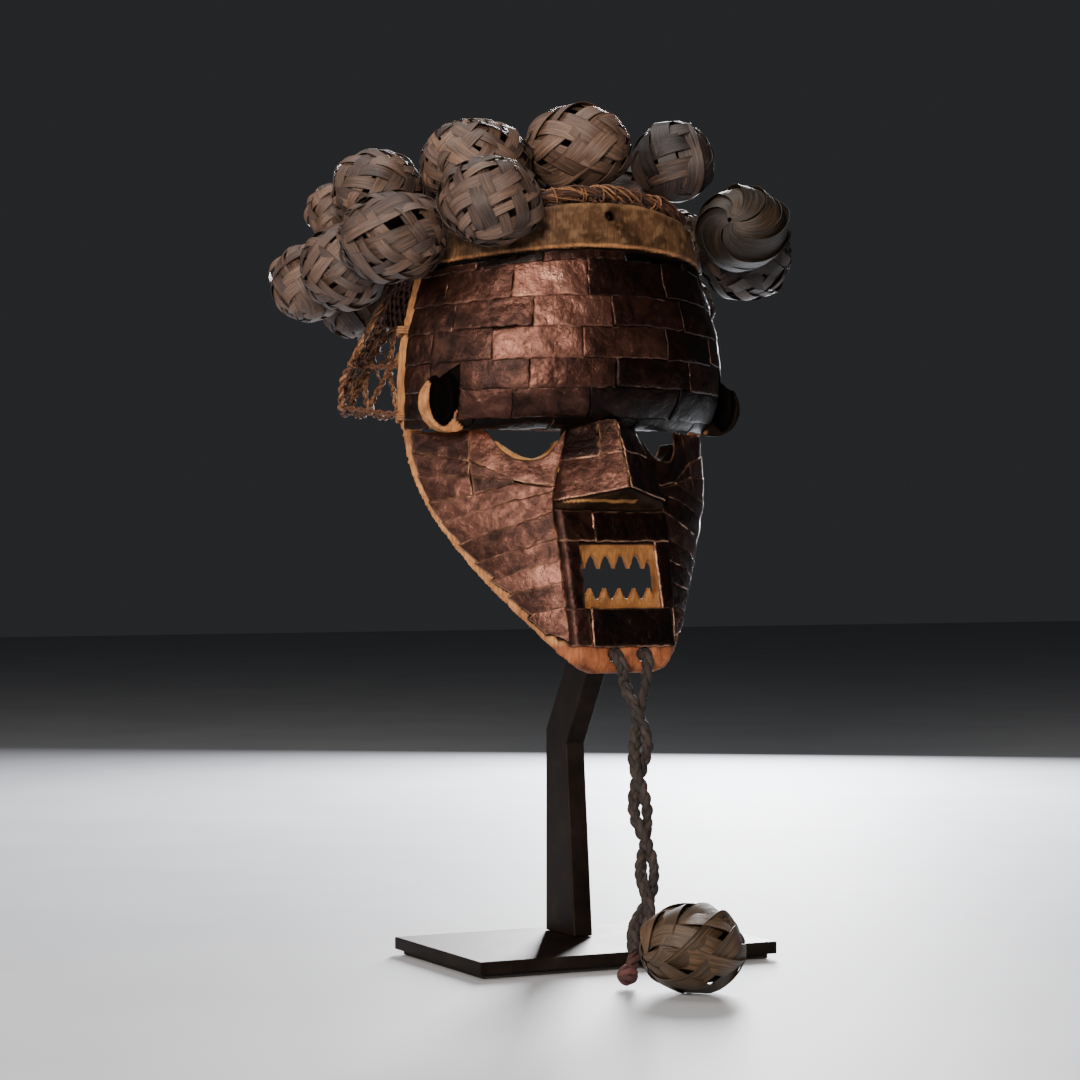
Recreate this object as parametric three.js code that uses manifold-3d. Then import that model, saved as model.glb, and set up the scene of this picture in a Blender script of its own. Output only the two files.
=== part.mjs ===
// A Salampasu mask: a carved wooden face covered with small copper sheets, a fibre headdress with
// plaited balls, a braided beard that ends in a plaited ball, and the steel stand that carries it.
// Millimetres, +Z up. The face looks along -Y and is symmetric about X = 0.
// The origin lies on the surface that the stand rests on, below the post.
import * as THREE from 'three';
import Module from 'manifold-3d';
import { mergeVertices } from 'three/addons/utils/BufferGeometryUtils.js';

const wasm = await Module();
wasm.setup();

// Driving dimensions

const gap = 0.3; // clearance between neighbouring pieces
const base = { width: 203, depth: 124.5, plate: 7.6, pad: 2.8, padInset: 4.2, centreX: -3.5 };
const post = { width: 13, footFront: 8.5, footBack: 48, bendHeight: 135, lean: 0.64 };
const wall = 10; // thickness of the carved shell
const browHeight = 327;
const bandTop = 466;
const grooveHeight = 438; // lower edge of the bare wooden band
const copper = { low: -1, high: 1.2, lift: 1 }; // heights over the wood, cut back to the gap
const eye = { inner: 23, outer: 66, low: 308, high: 328.5 };
const mouth = { half: 25.5, low: 217.6, high: 254.3, upperTeeth: 14, lowerTeeth: 12.5 };
const muzzle = { top: 276, copperEnd: 193.5 };
const nose = { bridge: 331, tip: 290, wing: 282, lip: 276, reach: -53, halfTop: 21, halfBase: 36 };
const ear = { x: 92.5, z: 342.5, halfWidth: 18.5, halfHeight: 18.5, front: 4, back: 15 };
const earHole = { x: 98, z: 345, halfWidth: 9, halfHeight: 16.5, depth: 5 };
const earBare = { x: 101, halfWidth: 12, halfHeight: 20 }; // where the copper is cut away
const cap = { x: 0, y: 62, z: 380, halfWidth: 111, halfDepth: 109, rise: 87, cloth: 3 };
const net = { columns: 12, mesh: 27, strand: 0.15, from: 1.75, flareBack: 0.08, flareSide: 0.13 };

// Horizontal sections of the forehead: height, half width at the rim, rim position, front position
const foreheadSections = [
  { z: 327, half: 106.3, rim: 51, front: -17 },
  { z: 331, half: 106.8, rim: 52, front: -26 },
  { z: 338, half: 107.3, rim: 53, front: -33.5 },
  { z: 348, half: 107.6, rim: 54, front: -38 },
  { z: 364, half: 107.6, rim: 54.5, front: -39.5 },
  { z: 388, half: 105.5, rim: 54.5, front: -38 },
  { z: 414, half: 99, rim: 56, front: -34 },
  { z: 440, half: 93, rim: 57, front: -29.5 },
  { z: 466, half: 88, rim: 58, front: -25 },
];

// Horizontal sections of the face below the brow: the cheeks run from the rim to the edge of
// the nose or muzzle
const faceSections = [
  { z: 178, half: 22, rim: -40, edge: 19, front: -42 },
  { z: 184, half: 35.6, rim: -39, edge: 31, front: -42.5 },
  { z: 195, half: 45.5, rim: -31, edge: 33, front: -41.5 },
  { z: 206, half: 53.5, rim: -20.4, edge: 34.7, front: -40 },
  { z: 236, half: 74.7, rim: 5.8, edge: 36, front: -35 },
  { z: 265, half: 91.2, rim: 25.7, edge: 36.7, front: -28.5 },
  { z: 277, half: 97.2, rim: 32.5, edge: 37, front: -24.5 },
  { z: 296, half: 103.5, rim: 40, edge: 33, front: -20.5 },
  { z: 312, half: 105.8, rim: 46, edge: 27, front: -17.5 },
  { z: 334, half: 106.3, rim: 52.5, edge: 18, front: -12 },
];

// Horizontal sections of the raised block around the mouth
const muzzleSections = [
  { z: 177.5, half: 21, front: -43.5 },
  { z: 180.5, half: 29, front: -46.5 },
  { z: 186, half: 33.2, front: -48 },
  { z: 206, half: 34.7, front: -46 },
  { z: 236, half: 36, front: -40.5 },
  { z: 276, half: 37, front: -30 },
];

// Plaited balls of the headdress: centre, half width and half height, left to right from the front
const balls = [
  { x: -132.9, y: 135.5, z: 423.7, across: 25.1, tall: 25.7 },
  { x: -132.1, y: 79.3, z: 428.7, across: 28.2, tall: 27.5 },
  { x: -105.4, y: 87.5, z: 478.2, across: 29.7, tall: 27.8 },
  { x: -125.2, y: 18.5, z: 443.1, across: 34.1, tall: 28.6 },
  { x: -112.5, y: 137.7, z: 470.6, across: 20.7, tall: 20 },
  { x: -56.7, y: 47.3, z: 495.1, across: 34.8, tall: 28.2 },
  { x: -83.5, y: -31.7, z: 461.8, across: 31.2, tall: 27.7 },
  { x: 11.8, y: 39.5, z: 507.3, across: 34.6, tall: 28 },
  { x: 71.7, y: 22.6, z: 500.5, across: 26.2, tall: 26.2 },
  { x: 101.9, y: -14.3, z: 455.3, across: 28.2, tall: 26.9 },
  { x: 132.7, y: 35.5, z: 444.5, across: 30.7, tall: 29.7 },
  { x: 111.5, y: 93, z: 454, across: 27.3, tall: 25.2 },
  { x: 131, y: 127, z: 416, across: 27.3, tall: 25.2 },
  { x: 84, y: 158, z: 434, across: 27.8, tall: 25.6 },
  { x: -83, y: 173, z: 416, across: 27.8, tall: 25.6 },
  { x: -28, y: 182.5, z: 442, across: 28.3, tall: 26.1 },
  { x: 33, y: 183.5, z: 438, across: 28.3, tall: 26.1 },
  { x: -33, y: 112.2, z: 490.8, across: 27.8, tall: 25.6 },
  { x: 22, y: 99.9, z: 495.3, across: 27.3, tall: 25.2 },
  { x: 71, y: 72.6, z: 485.8, across: 25.2, tall: 23.3 },
  { x: 61.2, y: 131, z: 474.3, across: 26.8, tall: 24.7 },
  { x: 5.8, y: 147.7, z: 475.7, across: 26.3, tall: 24.2 },
  { x: -66.4, y: 140, z: 461.3, across: 25.2, tall: 23.3 },
];

const beardBall = { x: -16.5, y: -158.3, z: 25.6, across: 31, tall: 25.3 };
const beardKnot = { x: -41, y: -126, z: 7.6, across: 7, tall: 7.4 };
const braid = { thickness: 7, offset: 3.9, halfTurn: 40 };
const braidHoles = [-7, 13]; // where the two braids come out of the chin
const braidHoleHeight = 188.7;
const braidHoleRadius = 4.8;
// Where the pair of braids runs, from under the chin to the knot on the floor
const braidRoute = [
  [3, -54, 172],
  [2, -58, 156],
  [2, -64, 138],
  [-3, -68, 120],
  [-6, -76, 101],
  [-8, -86, 80],
  [-12, -97, 62],
  [-20, -110, 45],
  [-29, -119, 31],
  [-34, -123, 19],
];

// Materials

function finish(color, roughness, metalness) {
  return new THREE.MeshStandardMaterial({ color, roughness, metalness });
}

const steel = finish('#2e251f', 0.45, 0.8);
const rubber = finish('#1d1b1a', 0.9, 0);
const wood = finish('#a8733f', 0.7, 0);
const sheetCopper = finish('#6b3f34', 0.45, 0.9);
const fibre = finish('#8a4f2c', 0.85, 0);
const plaitedCane = finish('#75655a', 0.75, 0);
const braidFibre = finish('#3d302c', 0.85, 0);

// Solids

const object = new THREE.Group();

function place(name, geometry, material) {
  const mesh = new THREE.Mesh(geometry, material);
  mesh.name = name;
  object.add(mesh);
}

function solid(geometry) {
  const bare = geometry.clone();
  bare.deleteAttribute('normal');
  bare.deleteAttribute('uv');
  const merged = mergeVertices(bare, 1e-3);
  const vertProperties = new Float32Array(merged.attributes.position.array);
  const triVerts = new Uint32Array(merged.index.array);
  return new wasm.Manifold(new wasm.Mesh({ numProp: 3, vertProperties, triVerts }));
}

function geometryOf(manifold) {
  const mesh = manifold.getMesh();
  const geometry = new THREE.BufferGeometry();
  geometry.setAttribute('position', new THREE.BufferAttribute(mesh.vertProperties, mesh.numProp));
  geometry.setIndex(new THREE.BufferAttribute(mesh.triVerts, 1));
  geometry.computeVertexNormals();
  return geometry;
}

function joined(solids) {
  return solids.reduce((sum, next) => sum.add(next));
}

// The main body of a solid whose cuts may leave slivers beside it
function mainBody(manifold) {
  return manifold.decompose().reduce((best, next) => (next.volume() > best.volume() ? next : best));
}

// A geometry from points and triangles, with its faces turned outwards
function closedGeometry(points, triangles) {
  let volume = 0;
  for (let i = 0; i < triangles.length; i += 3) {
    const [a, b, c] = [0, 1, 2].map((k) => points[triangles[i + k]]);
    volume += a.dot(b.clone().cross(c));
  }
  const faces = volume < 0 ? triangles.slice().reverse() : triangles;
  const geometry = new THREE.BufferGeometry().setFromPoints(points);
  geometry.setIndex(faces);
  return geometry;
}

// A solid through a stack of flat or bent outlines that have equally many points
function loft(outlines) {
  const count = outlines[0].length;
  const triangles = [];
  for (let level = 0; level + 1 < outlines.length; level += 1) {
    for (let i = 0; i < count; i += 1) {
      const a = level * count + i;
      const b = level * count + ((i + 1) % count);
      triangles.push(a, b, b + count, a, b + count, a + count);
    }
  }
  const flat = outlines[0].map((p) => new THREE.Vector2(p.x, p.y));
  const last = (outlines.length - 1) * count;
  for (const [a, b, c] of THREE.ShapeUtils.triangulateShape(flat, [])) {
    triangles.push(c, b, a);
  }
  const flatTop = outlines.at(-1).map((p) => new THREE.Vector2(p.x, p.y));
  for (const [a, b, c] of THREE.ShapeUtils.triangulateShape(flatTop, [])) {
    triangles.push(last + a, last + b, last + c);
  }
  return solid(closedGeometry(outlines.flat(), triangles));
}

function steps(from, to, count) {
  return Array.from({ length: count + 1 }, (_, i) => from + ((to - from) * i) / count);
}

// A thin curved plate over a stretch of a surface: its top lies at its own height in each row
function plate(surface, us, vs, low, highs) {
  const points = [];
  const [columns, rows] = [us.length - 1, vs.length - 1];
  const delta = 1e-3;
  for (const heights of [vs.map(() => low), highs]) {
    for (const [j, v] of vs.entries()) {
      for (const u of us) {
        const point = surface(u, v);
        const alongU = surface(u + delta, v).sub(surface(u - delta, v));
        const alongV = surface(u, v + delta).sub(surface(u, v - delta));
        const normal = alongU.cross(alongV).normalize();
        if (normal.y > 0) normal.negate();
        points.push(point.addScaledVector(normal, heights[j]));
      }
    }
  }
  const across = columns + 1;
  const layer = across * (rows + 1);
  const triangles = [];
  for (let j = 0; j < rows; j += 1) {
    for (let i = 0; i < columns; i += 1) {
      const a = j * across + i;
      const [b, c, d] = [a + 1, a + across + 1, a + across];
      triangles.push(a, c, b, a, d, c);
      triangles.push(layer + a, layer + b, layer + c, layer + a, layer + c, layer + d);
    }
  }
  const border = [];
  for (let i = 0; i < columns; i += 1) border.push(i);
  for (let j = 0; j < rows; j += 1) border.push(j * across + columns);
  for (let i = columns; i > 0; i -= 1) border.push(rows * across + i);
  for (let j = rows; j > 0; j -= 1) border.push(j * across);
  border.forEach((a, k) => {
    const b = border[(k + 1) % border.length];
    triangles.push(a, b, layer + b, a, layer + b, layer + a);
  });
  return solid(closedGeometry(points, triangles));
}

// A flat shape in the X-Z plane, extruded along Y
function upright(shape, front, back) {
  const options = { depth: back - front, bevelEnabled: false, curveSegments: 8 };
  const geometry = new THREE.ExtrudeGeometry(shape, options);
  geometry.rotateX(Math.PI / 2);
  geometry.translate(0, back, 0);
  return solid(geometry);
}

function polygon(points) {
  return new THREE.Shape(points.map(([x, y]) => new THREE.Vector2(x, y)));
}

function box(size, centre) {
  return new THREE.BoxGeometry(...size).translate(...centre);
}

// Values between the stations of a section table, on a smooth curve through them
function section(sections, z) {
  const last = sections.length - 1;
  const clamped = Math.min(Math.max(z, sections[0].z), sections[last].z);
  let k = 0;
  while (k < last - 1 && clamped > sections[k + 1].z) k += 1;
  const [low, high] = [sections[k], sections[k + 1]];
  const span = high.z - low.z;
  const s = (clamped - low.z) / span;
  const result = {};
  for (const key of Object.keys(low)) {
    const before = sections[Math.max(k - 1, 0)];
    const after = sections[Math.min(k + 2, last)];
    const slopeLow = ((high[key] - before[key]) / (high.z - before.z)) * span;
    const slopeHigh = ((after[key] - low[key]) / (after.z - low.z)) * span;
    result[key] = THREE.MathUtils.lerp(low[key], high[key], s * s * (3 - 2 * s))
      + s * (1 - s) * ((1 - s) * slopeLow - s * slopeHigh);
  }
  return result;
}

// The carved face

// The rows of the forehead sink towards the temples, most at the top
function rowDrop(z) {
  const t = THREE.MathUtils.clamp((z - browHeight) / (bandTop - browHeight), 0, 1);
  return 6 * Math.sqrt(t) + 12 * t * t * t;
}

function forehead(angle, z, inset = 0) {
  const { half, rim, front } = section(foreheadSections, z);
  const power = 2 / (2 + 0.25 * THREE.MathUtils.smoothstep(z, browHeight, browHeight + 25));
  const side = Math.sin(angle);
  const x = (half - inset) * Math.sign(side) * Math.abs(side) ** power;
  const y = rim - (rim - front - inset) * Math.abs(Math.cos(angle)) ** power;
  return new THREE.Vector3(x, y, z - rowDrop(z) * (x / half) ** 2);
}

// t runs from the rim to the edge of the nose or muzzle, and side is -1 or 1
function cheek(t, z, side) {
  const { half, rim, edge, front } = section(faceSections, z);
  const run = Math.hypot(half - edge, rim - front);
  const bulge = Math.min(6, 0.07 * run) * 4 * t * (1 - t);
  const x = half + (edge - half) * t + ((rim - front) / run) * bulge;
  const y = rim + (front - rim) * t - ((half - edge) / run) * bulge;
  return new THREE.Vector3(side * x, y, z);
}

const archSteps = 18;

function foreheadOutline(z, inset, behind) {
  const outline = [];
  for (let i = 0; i <= archSteps; i += 1) {
    outline.push(forehead((i / archSteps - 0.5) * Math.PI, z, inset));
  }
  if (behind > 0) {
    const [left, right] = [outline[0], outline.at(-1)];
    outline.push(right.clone().setY(right.y + behind), left.clone().setY(left.y + behind));
  }
  return outline;
}

const foreheadLevels = [327, 330, 335, 343, 358, 382, 410, 438, 466];

function foreheadBody() {
  return loft(foreheadLevels.map((z) => foreheadOutline(z, 0, 0)));
}

function foreheadHollow() {
  const levels = [320, 334, 348, 364, 388, 414, 438, 466, 490];
  return loft(levels.map((z) => {
    const outline = foreheadOutline(Math.max(z, 336), wall, 40);
    if (z < 336 || z > bandTop) outline.forEach((p) => { p.z += z - Math.max(z, 336); });
    if (z > bandTop) outline.forEach((p) => { p.z = z; });
    return outline;
  }));
}

// The bare band stands a little proud of the wood below it
function band() {
  const proud = 2.6;
  return loft([grooveHeight, grooveHeight + 3, 452, bandTop].map((z, i) =>
    foreheadOutline(z, i === 0 ? 0 : -proud, 0)));
}

function faceOutline(z, steps) {
  const outline = [];
  for (let i = 0; i <= steps; i += 1) outline.push(cheek(i / steps, z, -1));
  for (let i = steps; i >= 0; i -= 1) outline.push(cheek(i / steps, z, 1));
  return outline;
}

function faceBody() {
  const levels = [178, 184, 195, 206, 221, 236, 251, 265, 277, 296, 312, 334];
  return loft(levels.map((z) => faceOutline(z, 4)));
}

// The hollow follows the cheeks and the muzzle from behind and ends above the chin
function faceHollow() {
  const levels = [189, 195, 206, 221, 236, 251, 265, 277, 296, 312, 338];
  return loft(levels.map((z) => {
    const { half, rim, edge, front } = section(faceSections, z);
    const inner = wall * 0.85;
    const deep = section(muzzleSections, Math.min(z, muzzle.top)).front + wall;
    const middle = z > muzzle.top ? Math.max(front + inner, deep) : deep;
    const side = half - inner;
    const y = Math.max(rim, middle + 2) + 0.4;
    const edges = [[-side, y + 60], [-side, y], [-edge + 3, middle], [edge - 3, middle]];
    edges.push([side, y], [side, y + 60]);
    return edges.map((p) => new THREE.Vector3(p[0], p[1], z));
  }));
}

function muzzleBody() {
  return loft(muzzleSections.map(({ z, half, front }) => {
    const corner = 2.5;
    const back = section(faceSections, z).front + 6;
    const outline = [[-half, back], [-half, front + corner], [-half + corner, front]];
    outline.push([half - corner, front], [half, front + corner], [half, back]);
    return outline.map((p) => new THREE.Vector3(p[0], p[1], z));
  }));
}

// Corners of the nose, widened or moved forward for the copper that covers it
function noseCorners(grow = 0) {
  const forward = -grow * 0.8;
  return {
    bridge: new THREE.Vector3(0, -35 + forward, nose.bridge),
    tip: new THREE.Vector3(0, nose.reach + forward, nose.tip),
    wing: (side) => new THREE.Vector3(side * (nose.halfBase + grow), -31 + forward, nose.wing),
    brow: (side) => new THREE.Vector3(side * (nose.halfTop + grow), -14 + forward, nose.bridge),
  };
}

function noseBody() {
  const { bridge, tip, wing, brow } = noseCorners();
  const back = 4;
  const lip = (side) => new THREE.Vector3(side * nose.halfBase, -28, nose.lip);
  const behind = (p) => p.clone().setY(back);
  const points = [brow(-1), bridge, brow(1), wing(-1), tip, wing(1), lip(-1), lip(1)];
  points.push(behind(brow(-1)), behind(brow(1)), behind(lip(-1)), behind(lip(1)));
  const faces = [[0, 3, 4], [0, 4, 1], [1, 4, 5], [1, 5, 2], [3, 6, 4], [6, 7, 4], [4, 7, 5]];
  faces.push([0, 1, 2], [0, 2, 9], [0, 9, 8], [8, 9, 11], [8, 11, 10], [6, 10, 11], [6, 11, 7]);
  faces.push([0, 8, 10], [0, 10, 3], [3, 10, 6], [2, 5, 11], [2, 11, 9], [5, 7, 11]);
  return solid(closedGeometry(points, faces.flat()));
}

function ellipticRod(x, z, halfWidth, halfHeight, front, back, sides) {
  const geometry = new THREE.CylinderGeometry(1, 1, back - front, sides);
  geometry.scale(halfWidth, 1, halfHeight);
  geometry.translate(x, (front + back) / 2, z);
  return solid(geometry);
}

function earFlange(side) {
  return ellipticRod(side * ear.x, ear.z, ear.halfWidth, ear.halfHeight, ear.front, ear.back, 20);
}

function earHollow(side) {
  const { x, z, halfWidth, halfHeight, depth } = earHole;
  return ellipticRod(side * x, z, halfWidth, halfHeight, -30, ear.front + depth, 16);
}

function eyeOpening(side, grow = 0) {
  const shape = new THREE.Shape();
  shape.moveTo(side * (eye.inner - grow), eye.high);
  const control = eye.low - (eye.high - eye.low) - grow * 2;
  shape.quadraticCurveTo(side * 41, control, side * (eye.outer + grow), eye.high);
  shape.closePath();
  return upright(shape, -60, 60);
}

function mouthOpening() {
  const { half, low, high } = mouth;
  return upright(polygon([[-half, low], [half, low], [half, high], [-half, high]]), -70, 20);
}

// A row of pointed teeth along one edge of the mouth
function teeth(count, root, reach) {
  const pitch = (2 * mouth.half) / count;
  const front = section(muzzleSections, root).front + 2.5;
  const solids = [];
  for (let i = 0; i < count; i += 1) {
    const left = -mouth.half + i * pitch;
    const outline = [[left - 0.2, root], [left + pitch * 0.12, root + reach * 0.35]];
    outline.push([left + pitch / 2, root + reach], [left + pitch * 0.88, root + reach * 0.35]);
    outline.push([left + pitch + 0.2, root], [left + pitch / 2, root - Math.sign(reach) * 2]);
    solids.push(upright(polygon(outline), front, front + 6));
  }
  return joined(solids);
}

function drill(x, z, radius, front, back) {
  return ellipticRod(x, z, radius, radius, front, back, 10);
}

function maskShell() {
  const earsAndBlocks = [-1, 1].map(earFlange).concat([muzzleBody(), noseBody()]);
  let shell = joined([foreheadBody(), faceBody(), band(), ...earsAndBlocks]);
  shell = shell.subtract(foreheadHollow()).subtract(faceHollow());
  shell = shell.subtract(mouthOpening());
  for (const side of [-1, 1]) {
    shell = shell.subtract(eyeOpening(side)).subtract(earHollow(side));
  }
  shell = shell.add(teeth(5, mouth.high, -mouth.upperTeeth));
  shell = shell.add(teeth(5, mouth.low, mouth.lowerTeeth));
  for (const x of braidHoles) {
    shell = shell.subtract(drill(x, braidHoleHeight, braidHoleRadius, -60, 0));
  }
  return mainBody(shell.subtract(drill(-1, 457, 2.6, -45, 0))).simplify(0.05);
}

// The copper sheets

const shell = maskShell();

// A skin of sheets cut back to a small clearance from the wood that it lies on
function onTheWood(skin) {
  const moves = [[-gap, 0, 0], [gap, 0, 0], [0, -gap, 0], [0, 0, -gap], [0, 0, gap]];
  const free = moves.reduce((left, move) => left.subtract(shell.translate(move)), skin);
  return mainBody(free.simplify(0.12));
}

function sheet(surface, us, vs, lift) {
  return plate(surface, us, vs, copper.low, vs.map(() => copper.high + lift));
}

// Rows of sheets of which each stands out at its lower edge, where it lies over the next row
function shingles(surface, us, rows, bends) {
  const vs = [];
  const highs = [];
  for (let i = 0; i + 1 < rows.length; i += 1) {
    const share = (v) => (v - rows[i]) / (rows[i + 1] - rows[i]);
    const ends = [0.02, 0.98].map((s) => THREE.MathUtils.lerp(rows[i], rows[i + 1], s));
    const inside = bends.filter((v) => share(v) > 0.1 && share(v) < 0.9);
    for (const v of [ends[0], ...inside, ends[1]]) {
      vs.push(v);
      highs.push(copper.high + copper.lift * (1 - share(v)));
    }
  }
  return plate(surface, us, vs, copper.low, highs);
}

// Rows of the forehead, from the brow up to the band
const copperRows = [328.5, 335, 352.5, 370.5, 390, 409, 431];
const copperRim = 83; // angle at which the sheets stop short of the rim

function copperForehead() {
  const angles = steps(-copperRim, copperRim, 18).map(THREE.MathUtils.degToRad);
  let skin = shingles(forehead, angles, copperRows, foreheadLevels);
  for (const side of [-1, 1]) {
    const { x, halfWidth, halfHeight } = earBare;
    const cut = ellipticRod(side * x, ear.z, halfWidth, halfHeight, -40, ear.back + 1, 20);
    skin = skin.subtract(cut);
  }
  return onTheWood(skin);
}

// Strips on a cheek fan out from the nose and the muzzle towards the rim
const cheekStrips = 12;

function stripHeight(edge, t) {
  const s = edge / cheekStrips;
  const atRim = THREE.MathUtils.lerp(322, 200, s);
  const atMuzzle = THREE.MathUtils.lerp(326, 201, s);
  const sweep = 9 * Math.sin(Math.PI * Math.min(s * 1.2, 1));
  return THREE.MathUtils.lerp(atRim - sweep, atMuzzle + sweep * 0.6, t);
}

// The sheets end short of the rim, whose wood stays bare
function cheekReach(s) {
  return 0.05 + 0.16 * (s / cheekStrips) ** 3;
}

function copperCheek(side) {
  const end = 0.975;
  const skin = (t, s) => cheek(t + (1 - t / end) * cheekReach(s), stripHeight(s, t), side);
  const sheets = shingles(skin, steps(0.03, end, 4), steps(cheekStrips, 0, cheekStrips), []);
  return onTheWood(sheets.subtract(eyeOpening(side, 1.2)).subtract(noseClearance()));
}

function noseClearance() {
  const outline = [[-nose.halfTop - 2.5, 340], [-nose.halfBase - 2.2, nose.wing]];
  outline.push([-nose.halfBase - 2.2, 190], [nose.halfBase + 2.2, 190]);
  outline.push([nose.halfBase + 2.2, nose.wing], [nose.halfTop + 2.5, 340]);
  return upright(polygon(outline), -60, 20);
}

// Each flank of the nose carries two rows of sheets
function copperNose() {
  const { bridge, tip, wing, brow } = noseCorners();
  const belowBrow = 0.87;
  const sheets = [];
  for (const side of [-1, 1]) {
    const flank = (u, v) => {
      const inner = tip.clone().lerp(bridge, v);
      const outer = wing(side).lerp(brow(side), v);
      return inner.lerp(outer, u);
    };
    sheets.push(sheet(flank, [-0.01, 0.98], [0.02, 0.5], 0));
    sheets.push(sheet(flank, [-0.01, 0.98], [0.48, belowBrow], copper.lift));
  }
  return onTheWood(joined(sheets));
}

function muzzleFace(x, z) {
  return new THREE.Vector3(x, section(muzzleSections, z).front, z);
}

// Sheets around the mouth: an upper and a lower strip, and one upright strip on each side
function copperMuzzle() {
  const half = 33.4;
  const { low, high } = mouth;
  const strip = (left, right, bottom, top, lift) =>
    sheet(muzzleFace, [left, right], steps(bottom, top, 2), lift);
  const upper = strip(-half, half, high + 3, muzzle.top - 0.5, copper.lift);
  const lower = strip(2.5 - half, half - 2.5, muzzle.copperEnd, low - 0.6, copper.lift);
  const jambs = [-1, 1].map((side) => {
    const [outer, inner] = [side * (half - 0.8), side * (mouth.half + 0.6)];
    return strip(Math.min(outer, inner), Math.max(outer, inner), low - 2, high + 2, 0);
  });
  return onTheWood(joined([upper, lower, ...jambs]));
}

// The headdress

// The cap is flat in front, where it is tied to the ring, and round behind
function capPoint(around, down, inset = 0) {
  const power = THREE.MathUtils.lerp(5, 2.5, THREE.MathUtils.smoothstep(-Math.cos(around), -0.7, 0.1));
  const radius = Math.sin(down);
  const height = Math.max(1 - radius ** power, 0) ** (1 / power);
  return new THREE.Vector3(
    cap.x + (cap.halfWidth - inset) * radius * Math.sin(around),
    cap.y - (cap.halfDepth - inset) * radius * Math.cos(around),
    cap.z + (cap.rise - inset) * height,
  );
}

// The closed crown of the net: it reaches the rope ring in front and hangs lower behind
function crownEdge(around) {
  const behind = THREE.MathUtils.smoothstep(-Math.cos(around), -0.05, 0.25);
  return THREE.MathUtils.lerp(0.74, Math.PI / 2 - 0.12, behind);
}

function netCrown() {
  const turns = 20;
  const rings = 4;
  const points = [];
  for (const inset of [0, cap.cloth]) {
    for (let j = 1; j <= rings; j += 1) {
      for (let i = 0; i < turns; i += 1) {
        const around = (i / turns) * 2 * Math.PI;
        points.push(capPoint(around, (crownEdge(around) * j) / rings, inset));
      }
    }
    points.push(capPoint(0, 0, inset));
  }
  const layer = turns * rings + 1;
  const triangles = [];
  for (let i = 0; i < turns; i += 1) {
    const next = (i + 1) % turns;
    triangles.push(layer - 1, next, i, 2 * layer - 1, layer + i, layer + next);
    for (let j = 0; j + 1 < rings; j += 1) {
      const [a, b] = [j * turns + i, j * turns + next];
      const [c, d] = [a + turns, b + turns];
      triangles.push(a, b, d, a, d, c);
      triangles.push(layer + a, layer + d, layer + b, layer + a, layer + c, layer + d);
    }
    const [a, b] = [(rings - 1) * turns + i, (rings - 1) * turns + next];
    triangles.push(a, b, layer + b, a, layer + b, layer + a);
  }
  return solid(closedGeometry(points, triangles));
}

// Two rows of open loops hang below the crown, from one temple round the back to the other.
// They are cut out of a flat strip, x in loops and y in rows, which is then bent round the cap.
function netLoops() {
  const { columns, mesh, strand, from } = net;
  const outline = [[0, -0.1]];
  for (let i = 0; i <= columns; i += 0.5) outline.push([i, i % 1 === 0 ? 0.2 : 0.3]);
  outline.push([columns, -0.1]);
  for (let i = columns - 1; i >= 0; i -= 1) {
    outline.push([i + 0.5, -1 - strand]);
    if (i > 0) outline.push([i, -2 - strand]);
  }
  const depth = cap.cloth;
  const strip = new THREE.ExtrudeGeometry(polygon(outline), { depth, bevelEnabled: false });
  let loops = solid(strip);
  const cut = (corners) => {
    const through = { depth: depth + 2, bevelEnabled: false };
    const hole = new THREE.ExtrudeGeometry(polygon(corners), through);
    loops = loops.subtract(solid(hole.translate(0, 0, -1)));
  };
  const [w, h] = [0.5 - strand / 2, 1 - strand];
  for (let i = 0; i < columns; i += 1) {
    cut([[i + 0.5 - w, -strand], [i + 0.5, -h], [i + 0.5 + w, -strand]]);
    if (i > 0) cut([[i - w, -1], [i, -1 - h], [i + w, -1], [i, -1 + h]]);
  }
  const bent = geometryOf(loops);
  const position = bent.attributes.position;
  for (let k = 0; k < position.count; k += 1) {
    const around = from + ((2 * Math.PI - 2 * from) * position.getX(k)) / columns;
    const row = Math.max(-position.getY(k), 0);
    const edge = capPoint(around, crownEdge(around), cap.cloth - position.getZ(k));
    const widest = net.flareBack + net.flareSide * Math.abs(Math.sin(around));
    const flare = 1 + widest * Math.sin((Math.min(row, 2) * Math.PI) / 4);
    const y = cap.y + (edge.y - cap.y) * flare;
    position.setXYZ(k, edge.x * flare, y, edge.z + position.getY(k) * mesh);
  }
  return solid(bent);
}

function headdressNet() {
  return netCrown().add(netLoops());
}

// A tube along a smooth curve, closed at both ends
function tube(points, radius, sides, steps) {
  const shape = new THREE.Shape();
  for (let i = 0; i < sides; i += 1) {
    const angle = (i / sides) * 2 * Math.PI;
    const [x, y] = [radius * Math.cos(angle), radius * Math.sin(angle)];
    if (i === 0) shape.moveTo(x, y);
    else shape.lineTo(x, y);
  }
  shape.closePath();
  const extrudePath = new THREE.CatmullRomCurve3(points);
  return new THREE.ExtrudeGeometry(shape, { steps, extrudePath, bevelEnabled: false });
}

// The rope ring lies on the top edge of the band, from temple to temple
function ropeRing() {
  const thickness = 9;
  const ends = 52;
  const points = [];
  for (let i = 0; i <= 16; i += 1) {
    const angle = THREE.MathUtils.degToRad(-ends + (2 * ends * i) / 16);
    const edge = forehead(angle, bandTop, 3);
    points.push(edge.add(new THREE.Vector3(0, 0, thickness / 2 + 1)));
  }
  return tube(points, thickness / 2, 8, 16);
}

// The beard

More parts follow.
